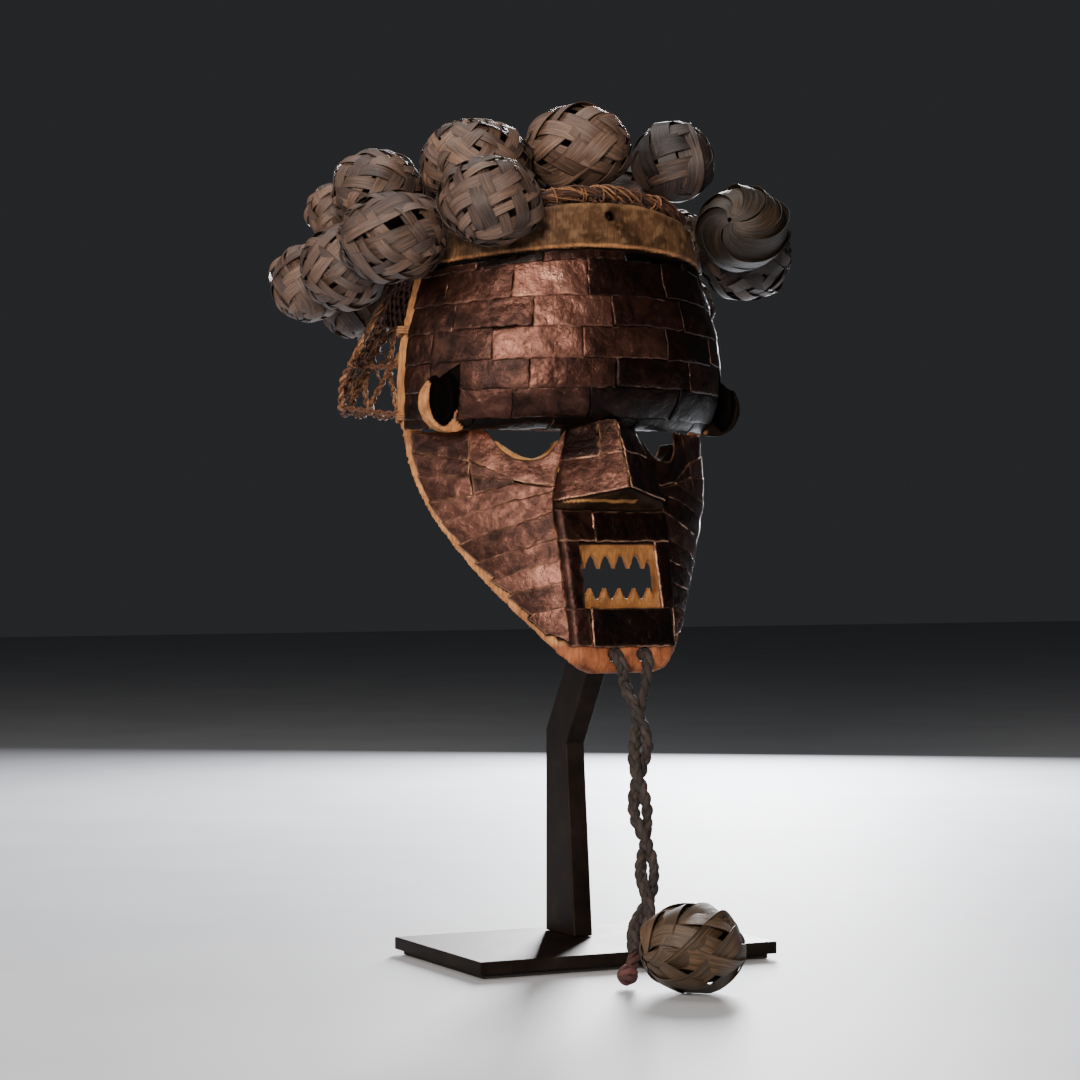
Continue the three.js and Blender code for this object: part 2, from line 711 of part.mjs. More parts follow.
// The two braids leave their holes side by side and then wind round each other
function braidPath(index) {
  const side = index === 0 ? -1 : 1;
  const x = braidHoles[index];
  const front = section(muzzleSections, braidHoleHeight).front;
  const points = [
    new THREE.Vector3(x, front + 4, braidHoleHeight + 1.1),
    new THREE.Vector3(x, front - 0.5, braidHoleHeight + 0.3),
    new THREE.Vector3(x * 0.95, front - 4.7, braidHoleHeight - 3.7),
    new THREE.Vector3(x * 0.8, front - 7.2, braidHoleHeight - 9.7),
  ];
  const centre = new THREE.CatmullRomCurve3(braidRoute.map((p) => new THREE.Vector3(...p)));
  const length = centre.getLength();
  const turns = 18;
  for (let i = 0; i <= turns; i += 1) {
    const at = i / turns;
    const angle = (Math.PI * at * length) / braid.halfTurn;
    const spread = braid.offset + 2.5 * (1 - THREE.MathUtils.smoothstep(at, 0, 0.12));
    const along = centre.getTangentAt(at);
    const right = new THREE.Vector3(0.895, -0.446, 0).projectOnPlane(along).normalize();
    const out = right.clone().cross(along);
    const point = centre.getPointAt(at);
    point.addScaledVector(right, side * spread * Math.cos(angle));
    point.addScaledVector(out, side * spread * Math.sin(angle));
    points.push(point);
  }
  return points;
}

function beardBraid(index) {
  return tube(braidPath(index), braid.thickness / 2, 8, 22);
}

function ellipsoid({ x, y, z, across, tall }, sides, rings) {
  const geometry = new THREE.SphereGeometry(1, sides, rings);
  geometry.rotateX(Math.PI / 2);
  return geometry.scale(across, across, tall).translate(x, y, z);
}

// The stand

function standPost() {
  const foot = base.pad + base.plate + 2 * gap;
  const { footFront, footBack, bendHeight, lean } = post;
  const shape = polygon([
    [footFront, foot],
    [footBack, foot],
    [footBack, bendHeight + 3.5],
    [footBack - lean * 75, bendHeight + 78],
    [-34.5, bendHeight + 78],
    [-34.5, bendHeight + 69],
    [-20, bendHeight + 58],
    [20, bendHeight - 4.5],
  ]);
  const geometry = new THREE.ExtrudeGeometry(shape, { depth: post.width, bevelEnabled: false });
  geometry.rotateX(Math.PI / 2);
  geometry.rotateZ(Math.PI / 2);
  return geometry.translate(-post.width / 2, 0, 0);
}

function standBase() {
  const middle = base.pad + gap + base.plate / 2;
  return box([base.width, base.depth, base.plate], [base.centreX, 0, middle]);
}

function standPad() {
  const width = base.width - 2 * base.padInset;
  const depth = base.depth - 2 * base.padInset;
  return box([width, depth, base.pad], [base.centreX, 0, base.pad / 2]);
}

// The object

place('stand_pad', standPad(), rubber);
place('stand_base', standBase(), steel);
place('stand_post', standPost(), steel);
place('mask_shell', geometryOf(shell), wood);
place('copper_forehead', geometryOf(copperForehead()), sheetCopper);
place('copper_cheek_left', geometryOf(copperCheek(-1)), sheetCopper);
place('copper_cheek_right', geometryOf(copperCheek(1)), sheetCopper);
place('copper_nose', geometryOf(copperNose()), sheetCopper);
place('copper_muzzle', geometryOf(copperMuzzle()), sheetCopper);
place('headdress_net', geometryOf(headdressNet()), fibre);
place('headdress_ring', ropeRing(), fibre);
balls.forEach((ball, i) => {
  place(`headdress_ball_${String(i + 1).padStart(2, '0')}`, ellipsoid(ball, 12, 6), plaitedCane);
});
place('beard_braid_left', beardBraid(0), braidFibre);
place('beard_braid_right', beardBraid(1), braidFibre);
place('beard_ball', ellipsoid(beardBall, 14, 8), plaitedCane);
place('beard_knot', ellipsoid(beardKnot, 8, 5), braidFibre);

export default object;
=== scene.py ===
# A Salampasu mask on its stand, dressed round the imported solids. +Z is up and the face looks
# along -Y. Shapes are worked out in millimetres and turned to metres when a mesh is made.
import math
from collections import namedtuple

import bmesh
import bpy
import numpy as np
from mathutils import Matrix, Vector, kdtree, noise


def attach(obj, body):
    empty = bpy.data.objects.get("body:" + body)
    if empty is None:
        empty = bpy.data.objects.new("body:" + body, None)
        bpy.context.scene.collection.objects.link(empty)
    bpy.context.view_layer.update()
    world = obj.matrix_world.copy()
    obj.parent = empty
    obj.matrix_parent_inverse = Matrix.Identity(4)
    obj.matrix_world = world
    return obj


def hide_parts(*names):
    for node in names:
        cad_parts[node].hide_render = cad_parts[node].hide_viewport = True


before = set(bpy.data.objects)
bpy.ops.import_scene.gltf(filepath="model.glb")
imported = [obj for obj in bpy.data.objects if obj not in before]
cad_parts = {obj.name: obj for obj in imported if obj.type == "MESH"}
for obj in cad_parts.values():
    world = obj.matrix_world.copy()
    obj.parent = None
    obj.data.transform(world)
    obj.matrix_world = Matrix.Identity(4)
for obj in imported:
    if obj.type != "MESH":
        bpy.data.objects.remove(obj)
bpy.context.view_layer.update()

MM = 0.001

# Sizes shared with the solids, in millimetres
BROW = 327
BAND_LOW, BAND_TOP = 438, 466
MOUTH_HALF, MOUTH_LOW, MOUTH_HIGH = 25.5, 217.6, 254.3
MUZZLE_TOP, MUZZLE_COPPER_END = 276, 193.5
EAR_HOLE_X, EAR_HOLE_Z = 98, 345
EYE_INNER, EYE_OUTER, EYE_LOW, EYE_HIGH = 23, 66, 308, 328.5
CAP_Y, CAP_Z, CAP_WIDE, CAP_DEEP, CAP_RISE = 62, 380, 111, 109, 87
NET_COLUMNS, NET_MESH, NET_FROM = 12, 27, 1.75
NET_FLARE_BACK, NET_FLARE_SIDE = 0.08, 0.13
BRAID_HOLES = (-7, 13)
BRAID_HOLE_Z = 188.7
PICTURE_RIGHT = np.array([0.895, -0.446, 0])  # to the right in the photograph

# Sections of the carved face: height, half width and depths in front of the rim
FOREHEAD = np.array([
    (327, 106.3, 51, -17),
    (331, 106.8, 52, -26),
    (338, 107.3, 53, -33.5),
    (348, 107.6, 54, -38),
    (364, 107.6, 54.5, -39.5),
    (388, 105.5, 54.5, -38),
    (414, 99, 56, -34),
    (440, 93, 57, -29.5),
    (466, 88, 58, -25),
], float)
FACE = np.array([
    (178, 22, -40, 19, -42),
    (184, 35.6, -39, 31, -42.5),
    (195, 45.5, -31, 33, -41.5),
    (206, 53.5, -20.4, 34.7, -40),
    (236, 74.7, 5.8, 36, -35),
    (265, 91.2, 25.7, 36.7, -28.5),
    (277, 97.2, 32.5, 37, -24.5),
    (296, 103.5, 40, 33, -20.5),
    (312, 105.8, 46, 27, -17.5),
    (334, 106.3, 52.5, 18, -12),
], float)
MUZZLE = np.array([
    (177.5, 21, -43.5),
    (180.5, 29, -46.5),
    (186, 33.2, -48),
    (206, 34.7, -46),
    (236, 36, -40.5),
    (276, 37, -30),
], float)

BRAID_ROUTE = [
    (3, -54, 172),
    (2, -58, 156),
    (2, -64, 138),
    (-3, -68, 120),
    (-6, -76, 101),
    (-8, -86, 80),
    (-12, -97, 62),
    (-20, -110, 45),
    (-29, -119, 31),
    (-34, -123, 19),
]

# Geometry helpers


def unit(vectors):
    return vectors / np.maximum(np.linalg.norm(vectors, axis=-1, keepdims=True), 1e-9)


def smoothstep(x, low, high):
    t = np.clip((np.asarray(x, float) - low) / (high - low), 0, 1)
    return t * t * (3 - 2 * t)


def mix(a, b, t):
    return a + (b - a) * t


def field(points, size, seed=0, octaves=2):
    """Smooth noise between about -1 and 1 at points in mm, with features of the given size."""
    shift = Vector((seed * 17.3, seed * 5.1, seed * 9.7))
    scaled = np.asarray(points, float) / size
    return np.array([noise.fractal(Vector(p) + shift, 1.0, 2.0, octaves) for p in scaled])


def wander(points, size, seeds):
    """A smooth noise for each axis, to move points by."""
    return np.stack([field(points, size, seed) for seed in seeds], -1)


def section(table, z):
    """Values between the stations of a section table, on the curve that the solids follow."""
    z = np.clip(np.asarray(z, float), table[0, 0], table[-1, 0])
    last = len(table) - 1
    k = np.clip(np.searchsorted(table[:, 0], z, side="left") - 1, 0, last - 1)
    low, high = table[k], table[k + 1]
    before, after = table[np.maximum(k - 1, 0)], table[np.minimum(k + 2, last)]
    span = high[..., :1] - low[..., :1]
    s = (z[..., None] - low[..., :1]) / span
    slope_low = (high - before) / (high[..., :1] - before[..., :1]) * span
    slope_high = (after - low) / (after[..., :1] - low[..., :1]) * span
    values = mix(low, high, s * s * (3 - 2 * s))
    values = values + s * (1 - s) * ((1 - s) * slope_low - s * slope_high)
    return [values[..., i] for i in range(1, table.shape[1])]


def row_drop(z):
    """How far the rows of the forehead sink towards the temples."""
    t = np.clip((np.asarray(z, float) - BROW) / (BAND_TOP - BROW), 0, 1)
    return 6 * np.sqrt(t) + 12 * t ** 3


def forehead(angle, z):
    """A point of the bare forehead, whose middle has angle 0."""
    half, rim, front = section(FOREHEAD, z)
    power = 2 / (2 + 0.25 * smoothstep(z, BROW, BROW + 25))
    x = half * np.sign(np.sin(angle)) * np.abs(np.sin(angle)) ** power
    y = rim - (rim - front) * np.abs(np.cos(angle)) ** power
    return np.stack([x, y, z - row_drop(z) * (x / half) ** 2], -1)


def cheek(t, z, side):
    """A point of a bare cheek: t is 0 at the rim and 1 beside the nose."""
    half, rim, edge, front = section(FACE, z)
    run = np.hypot(half - edge, rim - front)
    bulge = np.minimum(6, 0.07 * run) * 4 * t * (1 - t)
    x = half + (edge - half) * t + (rim - front) / run * bulge
    y = rim + (front - rim) * t - (half - edge) / run * bulge
    return np.stack([side * x, y, z + 0 * t], -1)


def cap_point(around, down, inset=0.0):
    """A point of the net's crown: around is 0 in front, and down is 0 at the top."""
    power = mix(5, 2.5, smoothstep(-np.cos(around), -0.7, 0.1))
    radius = np.sin(down)
    height = np.maximum(1 - radius ** power, 0) ** (1 / power)
    return np.stack([
        (CAP_WIDE - inset) * radius * np.sin(around),
        CAP_Y - (CAP_DEEP - inset) * radius * np.cos(around),
        CAP_Z + (CAP_RISE - inset) * height,
    ], -1)


def crown_edge(around):
    """How far down the crown reaches: to the ring in front, and lower behind."""
    behind = smoothstep(-np.cos(around), -0.05, 0.25)
    return mix(0.74, math.pi / 2 - 0.12, behind)


def net_point(column, row, inset=1.5):
    """A point of the open net: column runs from one temple to the other, row downwards."""
    column, row = np.asarray(column, float), np.asarray(row, float)
    around = NET_FROM + (2 * math.pi - 2 * NET_FROM) * column / NET_COLUMNS
    edge = cap_point(around, crown_edge(around), inset)
    widest = NET_FLARE_BACK + NET_FLARE_SIDE * np.abs(np.sin(around))
    flare = 1 + widest * np.sin(np.minimum(row, 2) * math.pi / 4)
    y = CAP_Y + (edge[..., 1] - CAP_Y) * flare
    return np.stack([edge[..., 0] * flare, y, edge[..., 2] - row * NET_MESH], -1)


def tangents(path):
    return unit(np.gradient(path, axis=0))


def lengths(path):
    """How far along a path each of its points lies."""
    steps = np.linalg.norm(np.diff(path, axis=0), axis=1)
    return np.concatenate([[0], np.cumsum(steps)])


def spline(points, count):
    """Points at equal distances along a smooth curve through the given ones."""
    points = np.asarray(points, float)
    ends = [2 * points[0] - points[1], *points, 2 * points[-1] - points[-2]]
    fine = []
    for a, b, c, d in zip(ends, ends[1:], ends[2:], ends[3:]):
        bend, twist = 2 * a - 5 * b + 4 * c - d, 3 * (b - c) + d - a
        for s in np.arange(0, 1, 0.05):
            fine.append(b + 0.5 * s * (c - a + s * (bend + s * twist)))
    fine = np.array([*fine, points[-1]])
    length = lengths(fine)
    at = np.linspace(0, length[-1], count)
    return np.stack([np.interp(at, length, fine[:, i]) for i in range(3)], -1)


def crossing(points):
    """A direction across each point of a path, which turns as little as it can."""
    along = tangents(points)
    side = np.eye(3)[np.argmin(np.abs(along[0]))]
    sides = []
    for tangent in along:
        side = unit(side - tangent * (side @ tangent))
        sides.append(side)
    return np.array(sides)


Strand = namedtuple("Strand", "points facing girth tone")


def strand(points, facing=None, girth=1.0, tone=0.5):
    """A strip or cord to be made along a path, facing outwards where it is flat."""
    points = np.asarray(points, float)
    facing = crossing(points) if facing is None else facing
    return Strand(points, facing, np.ones(len(points)) * girth, np.ones(len(points)) * tone)


def plies(path, count, radius, pitch, phase=0.0, tone=0.5, girth=1.0):
    """Strands twisted round a path."""
    normal = crossing(path)
    across = np.cross(tangents(path), normal)
    made = []
    for k in range(count):
        angle = 2 * math.pi * (lengths(path) / pitch + k / count) + phase
        out = np.cos(angle)[:, None] * normal + np.sin(angle)[:, None] * across
        made.append(strand(path + radius * out, None, girth, tone))
    return made


# Objects


def new_object(name, data):
    made = bpy.data.objects.new(name, data)
    bpy.context.scene.collection.objects.link(made)
    return made


def mesh_object(name, points, faces, attributes=None):
    mesh = bpy.data.meshes.new(name)
    mesh.from_pydata((np.asarray(points, float) * MM).tolist(), [], faces)
    for key, values in (attributes or {}).items():
        flat = np.asarray(values, np.float32)
        kind, member = ("FLOAT_COLOR", "color") if flat.ndim == 2 else ("FLOAT", "value")
        attribute = mesh.attributes.new(key, kind, "POINT")
        attribute.data.foreach_set(member, flat.ravel())
    mesh.shade_smooth()
    return new_object(name, mesh)


def evaluated_mesh(source):
    """The plain mesh that an object's modifiers give, after which the object is removed."""
    bpy.context.view_layer.update()
    graph = bpy.context.evaluated_depsgraph_get()
    mesh = bpy.data.meshes.new_from_object(source.evaluated_get(graph))
    bpy.data.objects.remove(source)
    return mesh


def settle(made, node_name):
    """The piece rides on the one body and stands for its solid."""
    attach(made, "root")
    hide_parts(node_name)
    return made


def copy_of_solid(node_name, flat_within=None):
    """A merged copy of a solid, whose faces are joined where they lie flat within an angle."""
    shape = bmesh.new()
    shape.from_mesh(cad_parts[node_name].data)
    bmesh.ops.remove_doubles(shape, verts=shape.verts, dist=1e-5)
    if flat_within is not None:
        bmesh.ops.dissolve_limit(shape, angle_limit=flat_within, verts=shape.verts,
                                 edges=shape.edges)
    mesh = bpy.data.meshes.new(node_name + "_copy")
    shape.to_mesh(mesh)
    shape.free()
    return new_object(node_name + "_copy", mesh)


def finished(name, plain, finish, node_name):
    """The piece that a plain mesh makes, with its material."""
    plain.materials.clear()
    plain.materials.append(finish)
    plain.name = name
    return settle(new_object(name, plain), node_name)


# Nodes and colours


def linear(colour):
    """The linear values of an sRGB colour in hex."""
    channels = [int(colour[i:i + 2], 16) / 255 for i in (1, 3, 5)]
    curve = [c / 12.92 if c <= 0.04045 else ((c + 0.055) / 1.055) ** 2.4 for c in channels]
    return (*curve, 1.0)


def node(tree, kind, inputs=None, out=0, stops=None, **settings):
    """Adds a node, sets or links its inputs, and returns one of its outputs."""
    made = tree.nodes.new(kind)
    for name, value in settings.items():
        setattr(made, name, value)
    for name, value in (inputs or {}).items():
        if isinstance(value, bpy.types.NodeSocket):
            tree.links.new(value, made.inputs[name])
        else:
            made.inputs[name].default_value = value
    if stops:
        elements = made.color_ramp.elements
        while len(elements) < len(stops):
            elements.new(0.5)
        for element, (at, colour) in zip(elements, stops):
            element.position = at
            element.color = linear(colour)
    return made.outputs[out] if len(made.outputs) else made


def material(name, build, **constants):
    """A material on one principled shader: build links what varies, and the rest is constant."""
    made = bpy.data.materials.new(name)
    made.use_nodes = True
    tree = made.node_tree
    tree.nodes.clear()
    shader = tree.nodes.new("ShaderNodeBsdfPrincipled")
    for key, value in constants.items():
        shader.inputs[key.replace("_", " ")].default_value = value
    for key, socket in build(tree).items():
        tree.links.new(socket, shader.inputs[key])
    node(tree, "ShaderNodeOutputMaterial", {"Surface": shader.outputs[0]})
    return made


def toned(tree, texture, tone, *stops):
    """The colours of a ramp, read halfway between a texture and the tone of the piece."""
    both = node(tree, "ShaderNodeMath", {0: texture, 1: tone}, operation="ADD")
    level = node(tree, "ShaderNodeMath", {0: both, 1: 0.5}, operation="MULTIPLY")
    return node(tree, "ShaderNodeValToRGB", {"Fac": level}, stops=stops)


# Carved wood: raw grain, rubbed golden where it was handled, with dark colour in the hollows:
# painted shade in the groove under the band, under the nose and by the copper, and black in the
# ears. The painted attribute carries the broad stains and these. The grain is 1 mm wide and runs
# up the face, and the blotches are 14 mm wide.
def carved_wood(tree):
    place = node(tree, "ShaderNodeTexCoord", out=3)
    paint = node(tree, "ShaderNodeAttribute", attribute_name="paint")
    up_the_face = node(tree, "ShaderNodeMapping", {"Vector": place, "Scale": (1, 1, 0.07)})
    grain = node(tree, "ShaderNodeTexNoise", {
        "Vector": up_the_face, "Scale": 900, "Detail": 5, "Roughness": 0.6})
    blotch = node(tree, "ShaderNodeTexNoise", {"Vector": place, "Scale": 70, "Detail": 4})
    grain_tone = node(tree, "ShaderNodeValToRGB", {"Fac": grain}, stops=[
        (0.3, "#a89c92"), (0.62, "#ffffff")])
    blotch_tone = node(tree, "ShaderNodeValToRGB", {"Fac": blotch}, stops=[
        (0.32, "#9a8577"), (0.6, "#ffffff")])
    tinted = node(tree, "ShaderNodeMix", {0: 0.85, 6: paint, 7: grain_tone}, out=2,
                  data_type="RGBA", blend_type="MULTIPLY")
    colour = node(tree, "ShaderNodeMix", {0: 0.8, 6: tinted, 7: blotch_tone}, out=2,
                  data_type="RGBA", blend_type="MULTIPLY")
    rough = node(tree, "ShaderNodeMapRange", {"Value": blotch, "To Min": 0.6, "To Max": 0.85})
    shine = node(tree, "ShaderNodeMapRange", {
        "Value": paint, "From Max": 0.12, "To Min": 0.03, "To Max": 0.4})
    bump = node(tree, "ShaderNodeBump", {
        "Height": grain, "Strength": 0.5, "Distance": 0.0004})
    return {"Base Color": colour, "Roughness": rough, "Specular IOR Level": shine,
            "Normal": bump}


# Beaten sheet copper: brown patina in stains 13 mm wide, with rubbed pink edges, and creases
# 4 mm apart or closer
def beaten_copper(tree):
    place = node(tree, "ShaderNodeTexCoord", out=3)
    tone, edge = [node(tree, "ShaderNodeAttribute", out=2, attribute_name=key)
                  for key in ("tone", "edge")]
    creases = node(tree, "ShaderNodeTexNoise", {
        "Vector": place, "Scale": 230, "Detail": 6, "Roughness": 0.65, "Distortion": 0.2})
    stain = node(tree, "ShaderNodeTexNoise", {
        "Vector": place, "Scale": 75, "Detail": 7, "Roughness": 0.7, "Distortion": 0.5})
    patina = toned(tree, stain, tone, (0.32, "#0d0807"), (0.43, "#261612"), (0.52, "#482d25"),
                   (0.63, "#764f43"), (0.78, "#b08473"))
    worn = node(tree, "ShaderNodeMix", {0: edge, 6: patina, 7: linear("#bf9074")}, out=2,
                data_type="RGBA")
    rough = node(tree, "ShaderNodeMapRange", {
        "Value": stain, "From Min": 0.3, "From Max": 0.7, "To Min": 0.42, "To Max": 0.25})
    bump = node(tree, "ShaderNodeBump", {
        "Height": creases, "Strength": 0.75, "Distance": 0.0012})
    return {"Base Color": worn, "Roughness": rough, "Normal": bump}


# Split cane, plaited flat: long fibres on a dulled skin, with painted shade along each strip's
# edges
def plaited_cane(dark, middle, light, pale):
    def build(tree):
        along, across, tone = [node(tree, "ShaderNodeAttribute", out=2, attribute_name=key)
                               for key in ("along", "across", "tone")]
        strip = node(tree, "ShaderNodeCombineXYZ", {"X": along, "Y": across, "Z": tone})
        stretched = node(tree, "ShaderNodeMapping", {"Vector": strip, "Scale": (55, 6, 40)})
        fibre = node(tree, "ShaderNodeTexNoise", {
            "Vector": stretched, "Scale": 1.0, "Detail": 4, "Roughness": 0.65})
        skin = toned(tree, fibre, tone, (0.3, dark), (0.44, middle), (0.58, light), (0.74, pale))
        # Painted shade: each strip darkens towards both edges, beside the gaps between strips
        aside = node(tree, "ShaderNodeMath", {0: across}, operation="ABSOLUTE")
        edge_shade = node(tree, "ShaderNodeMapRange", {
            "Value": aside, "From Min": 0.7, "From Max": 1.0, "To Max": 0.75})
        colour = node(tree, "ShaderNodeMix", {0: edge_shade, 6: skin, 7: linear(dark)}, out=2,
                      data_type="RGBA")
        rough = node(tree, "ShaderNodeMapRange", {"Value": fibre, "To Min": 0.45, "To Max": 0.7})
        bump = node(tree, "ShaderNodeBump", {
            "Height": fibre, "Strength": 0.7, "Distance": 0.0006})
        return {"Base Color": colour, "Roughness": rough, "Normal": bump}
    return build


# Hand-twisted fibre cord: fine strands wind round it, paler where they stand out
def twisted_fibre(dark, middle, light):
    def build(tree):
        along, across, tone = [node(tree, "ShaderNodeAttribute", out=2, attribute_name=key)
                               for key in ("along", "across", "tone")]
        turn = node(tree, "ShaderNodeMath", {0: along, 1: 420.0, 2: across},
                    operation="MULTIPLY_ADD")
        wound = node(tree, "ShaderNodeCombineXYZ", {"X": turn, "Y": across, "Z": tone})
        strands = node(tree, "ShaderNodeTexNoise", {
            "Vector": wound, "Scale": 2.2, "Detail": 4, "Roughness": 0.6})
        bump = node(tree, "ShaderNodeBump", {
            "Height": strands, "Strength": 0.8, "Distance": 0.0006})
        return {
            "Base Color": toned(tree, strands, tone, (0.25, dark), (0.5, middle), (0.78, light)),
            "Normal": bump,
        }
    return build


# Mild steel under dark wax: nearly smooth, with a faint patina in clouds 22 mm wide
def waxed_steel(tree):
    place = node(tree, "ShaderNodeTexCoord", out=3)
    cloud = node(tree, "ShaderNodeTexNoise", {
        "Vector": place, "Scale": 45, "Detail": 6, "Roughness": 0.6})
    grit = node(tree, "ShaderNodeTexNoise", {"Vector": place, "Scale": 1800, "Detail": 2})
    colour = node(tree, "ShaderNodeValToRGB", {"Fac": cloud}, stops=[
        (0.3, "#1c1613"), (0.6, "#2e2520"), (0.8, "#41362f")])
    rough = node(tree, "ShaderNodeMapRange", {"Value": cloud, "To Min": 0.5, "To Max": 0.66})
    bump = node(tree, "ShaderNodeBump", {
        "Height": grit, "Strength": 0.15, "Distance": 0.0002})
    return {"Base Color": colour, "Roughness": rough, "Normal": bump}


# Moulded rubber sheet: matt and even, with a fine dusty grain
def moulded_rubber(tree):
    place = node(tree, "ShaderNodeTexCoord", out=3)
    dust = node(tree, "ShaderNodeTexNoise", {"Vector": place, "Scale": 700, "Detail": 3})
    colour = node(tree, "ShaderNodeValToRGB", {"Fac": dust}, stops=[
        (0.3, "#151312"), (0.7, "#2a2725")])
    return {"Base Color": colour}


# Matt paper: plain and pale, very slightly uneven
def pale_floor(tree):
    place = node(tree, "ShaderNodeTexCoord", out=3)
    soft = node(tree, "ShaderNodeTexNoise", {"Vector": place, "Scale": 6, "Detail": 3})
    colour = node(tree, "ShaderNodeValToRGB", {"Fac": soft}, stops=[
        (0.3, "#a4a7ab"), (0.7, "#adb0b4")])
    return {"Base Color": colour}


WOOD = material("wood_carved_raw", carved_wood, IOR=1.5)
COPPER = material("copper_sheet_beaten", beaten_copper, Metallic=0.82)
CANE = material("cane_split_plaited", plaited_cane(
    "#110c09", "#342722", "#614a3d", "#967963"), IOR=1.5)
CANE_WARM = material("cane_split_oiled", plaited_cane(
    "#17100b", "#42311f", "#715640", "#aa8c6e"), IOR=1.5)
BAST = material("bast_fibre_twisted", twisted_fibre("#140a06", "#4d2b17", "#b27d4d"),
                Roughness=0.75)
BEARD = material("dark_fibre_plaited", twisted_fibre("#0a0706", "#1e1512", "#42342e"),
                 Roughness=0.8)
KNOT = material("red_fibre_knotted", twisted_fibre("#140a09", "#3b1d1a", "#6c4139"),
                Roughness=0.8)
STEEL = material("steel_waxed_dark", waxed_steel, Metallic=0.9)
RUBBER = material("rubber_sheet_moulded", moulded_rubber, Roughness=0.9)
PAPER = material("floor_paper_matt", pale_floor, Roughness=0.65)


# A strip or cord along each path: an oval profile set across the direction that the path faces
def sweep_group():
    tree = bpy.data.node_groups.new("strip_or_cord_along_paths", "GeometryNodeTree")
    for name, kind in (("Paths", "Geometry"), ("Width", "Float"), ("Thickness", "Float"),
                       ("Sides", "Int"), ("Finish", "Material")):
        tree.interface.new_socket(name, in_out="INPUT", socket_type="NodeSocket" + kind)
    tree.interface.new_socket("Mesh", in_out="OUTPUT", socket_type="NodeSocketGeometry")
    given = tree.nodes.new("NodeGroupInput").outputs
    wide = node(tree, "ShaderNodeMath", {0: given["Width"], 1: 0.5}, operation="MULTIPLY")
    thick = node(tree, "ShaderNodeMath", {0: given["Thickness"], 1: 0.5}, operation="MULTIPLY")
    circle = node(tree, "GeometryNodeCurvePrimitiveCircle", {
        "Resolution": given["Sides"], "Radius": 1.0})
    place = node(tree, "GeometryNodeInputPosition")
    height = node(tree, "ShaderNodeSeparateXYZ", {"Vector": place}, out=1)
    marked = node(tree, "GeometryNodeStoreNamedAttribute", {
        "Geometry": circle, "Name": "across", "Value": height}, data_type="FLOAT",
        domain="POINT")
    size = node(tree, "ShaderNodeCombineXYZ", {"X": thick, "Y": wide, "Z": 1.0})
    profile = node(tree, "GeometryNodeTransform", {"Geometry": marked, "Scale": size})
    curve = node(tree, "GeometryNodeMeshToCurve", {"Mesh": given["Paths"]})
    run = node(tree, "GeometryNodeSplineParameter", out=1)
    measured = node(tree, "GeometryNodeStoreNamedAttribute", {
        "Geometry": curve, "Name": "along", "Value": run}, data_type="FLOAT", domain="POINT")
    facing = node(tree, "GeometryNodeInputNamedAttribute", {"Name": "facing"},
                  data_type="FLOAT_VECTOR")
    turned = node(tree, "GeometryNodeSetCurveNormal", {
        "Curve": measured, "Normal": facing}, mode="FREE")
    girth = node(tree, "GeometryNodeInputNamedAttribute", {"Name": "girth"},
                 data_type="FLOAT")
    swept = node(tree, "GeometryNodeCurveToMesh", {
        "Curve": turned, "Profile Curve": profile, "Scale": girth, "Fill Caps": True})
    real = node(tree, "GeometryNodeRealizeInstances", {"Geometry": swept})
    done = node(tree, "GeometryNodeSetMaterial", {
        "Geometry": real, "Material": given["Finish"]})
    node(tree, "NodeGroupOutput", {0: done})
    return tree


SWEEP = sweep_group()
CRISP_ANGLE = math.radians(38)


def swept(name, strands, width, thickness, sides, finish, crisp=False):
    """One mesh of all the strands, each an oval of this width and thickness with so many sides.
    Crisp ones keep the edges of their sides sharp."""
    points = np.concatenate([s.points for s in strands])
    edges, start = [], 0
    for s in strands:
        edges += [(i, i + 1) for i in range(start, start + len(s.points) - 1)]
        start += len(s.points)
    mesh = bpy.data.meshes.new(name + "_paths")
    mesh.from_pydata((points * MM).tolist(), edges, [])
    for key, kind, member in (("facing", "FLOAT_VECTOR", "vector"), ("girth", "FLOAT", "value"),
                              ("tone", "FLOAT", "value")):
        values = np.concatenate([getattr(s, key) for s in strands]).astype(np.float32)
        mesh.attributes.new(key, kind, "POINT").data.foreach_set(member, values.ravel())
    source = new_object(name + "_paths", mesh)
    modifier = source.modifiers.new("sweep", "NODES")
    modifier.node_group = SWEEP
    given = {"Width": width * MM, "Thickness": thickness * MM, "Sides": sides, "Finish": finish}
    for item in SWEEP.interface.items_tree:
        if item.name in given:
            modifier[item.identifier] = given[item.name]
    plain = evaluated_mesh(source)
    plain.name = name
    plain.shade_smooth()
    if crisp:
        plain.set_sharp_from_angle(angle=CRISP_ANGLE)
    return new_object(name, plain)


def join_into(made, *others):
    """Joins other mesh objects into the first one."""
    with bpy.context.temp_override(active_object=made, object=made,
                                   selected_editable_objects=[made, *others]):
        bpy.ops.object.join()
    return made


# Camera, fitted to the photograph: it stands level and looks along a yaw from +Y
CAMERA_PLACE = (-0.8404, -1.6163, 0.2585)
CAMERA_YAW = 26.5
CAMERA_LENS = 97.67


def make_camera():
    data = bpy.data.cameras.new("camera")
    data.sensor_width = 36
    data.lens = CAMERA_LENS
    camera = new_object("camera", data)
    camera.location = CAMERA_PLACE
    camera.rotation_euler = (math.radians(90), 0, math.radians(-CAMERA_YAW))
    bpy.context.scene.camera = camera


make_camera()

# Beard: lengths along a braid, in which things come round once, and half widths across it
PAIR_TURN, PLAIT_TURN, FLAT_TURN = 80, 24, 170
PAIR_APART, PAIR_APART_AT_CHIN = 3.9, 6.4
PLAIT_REACH, PLAIT_DEPTH = 1.85, 1.1
BRAID_STRAND = (4.5, 4.2)
BRAID_STEPS = 19


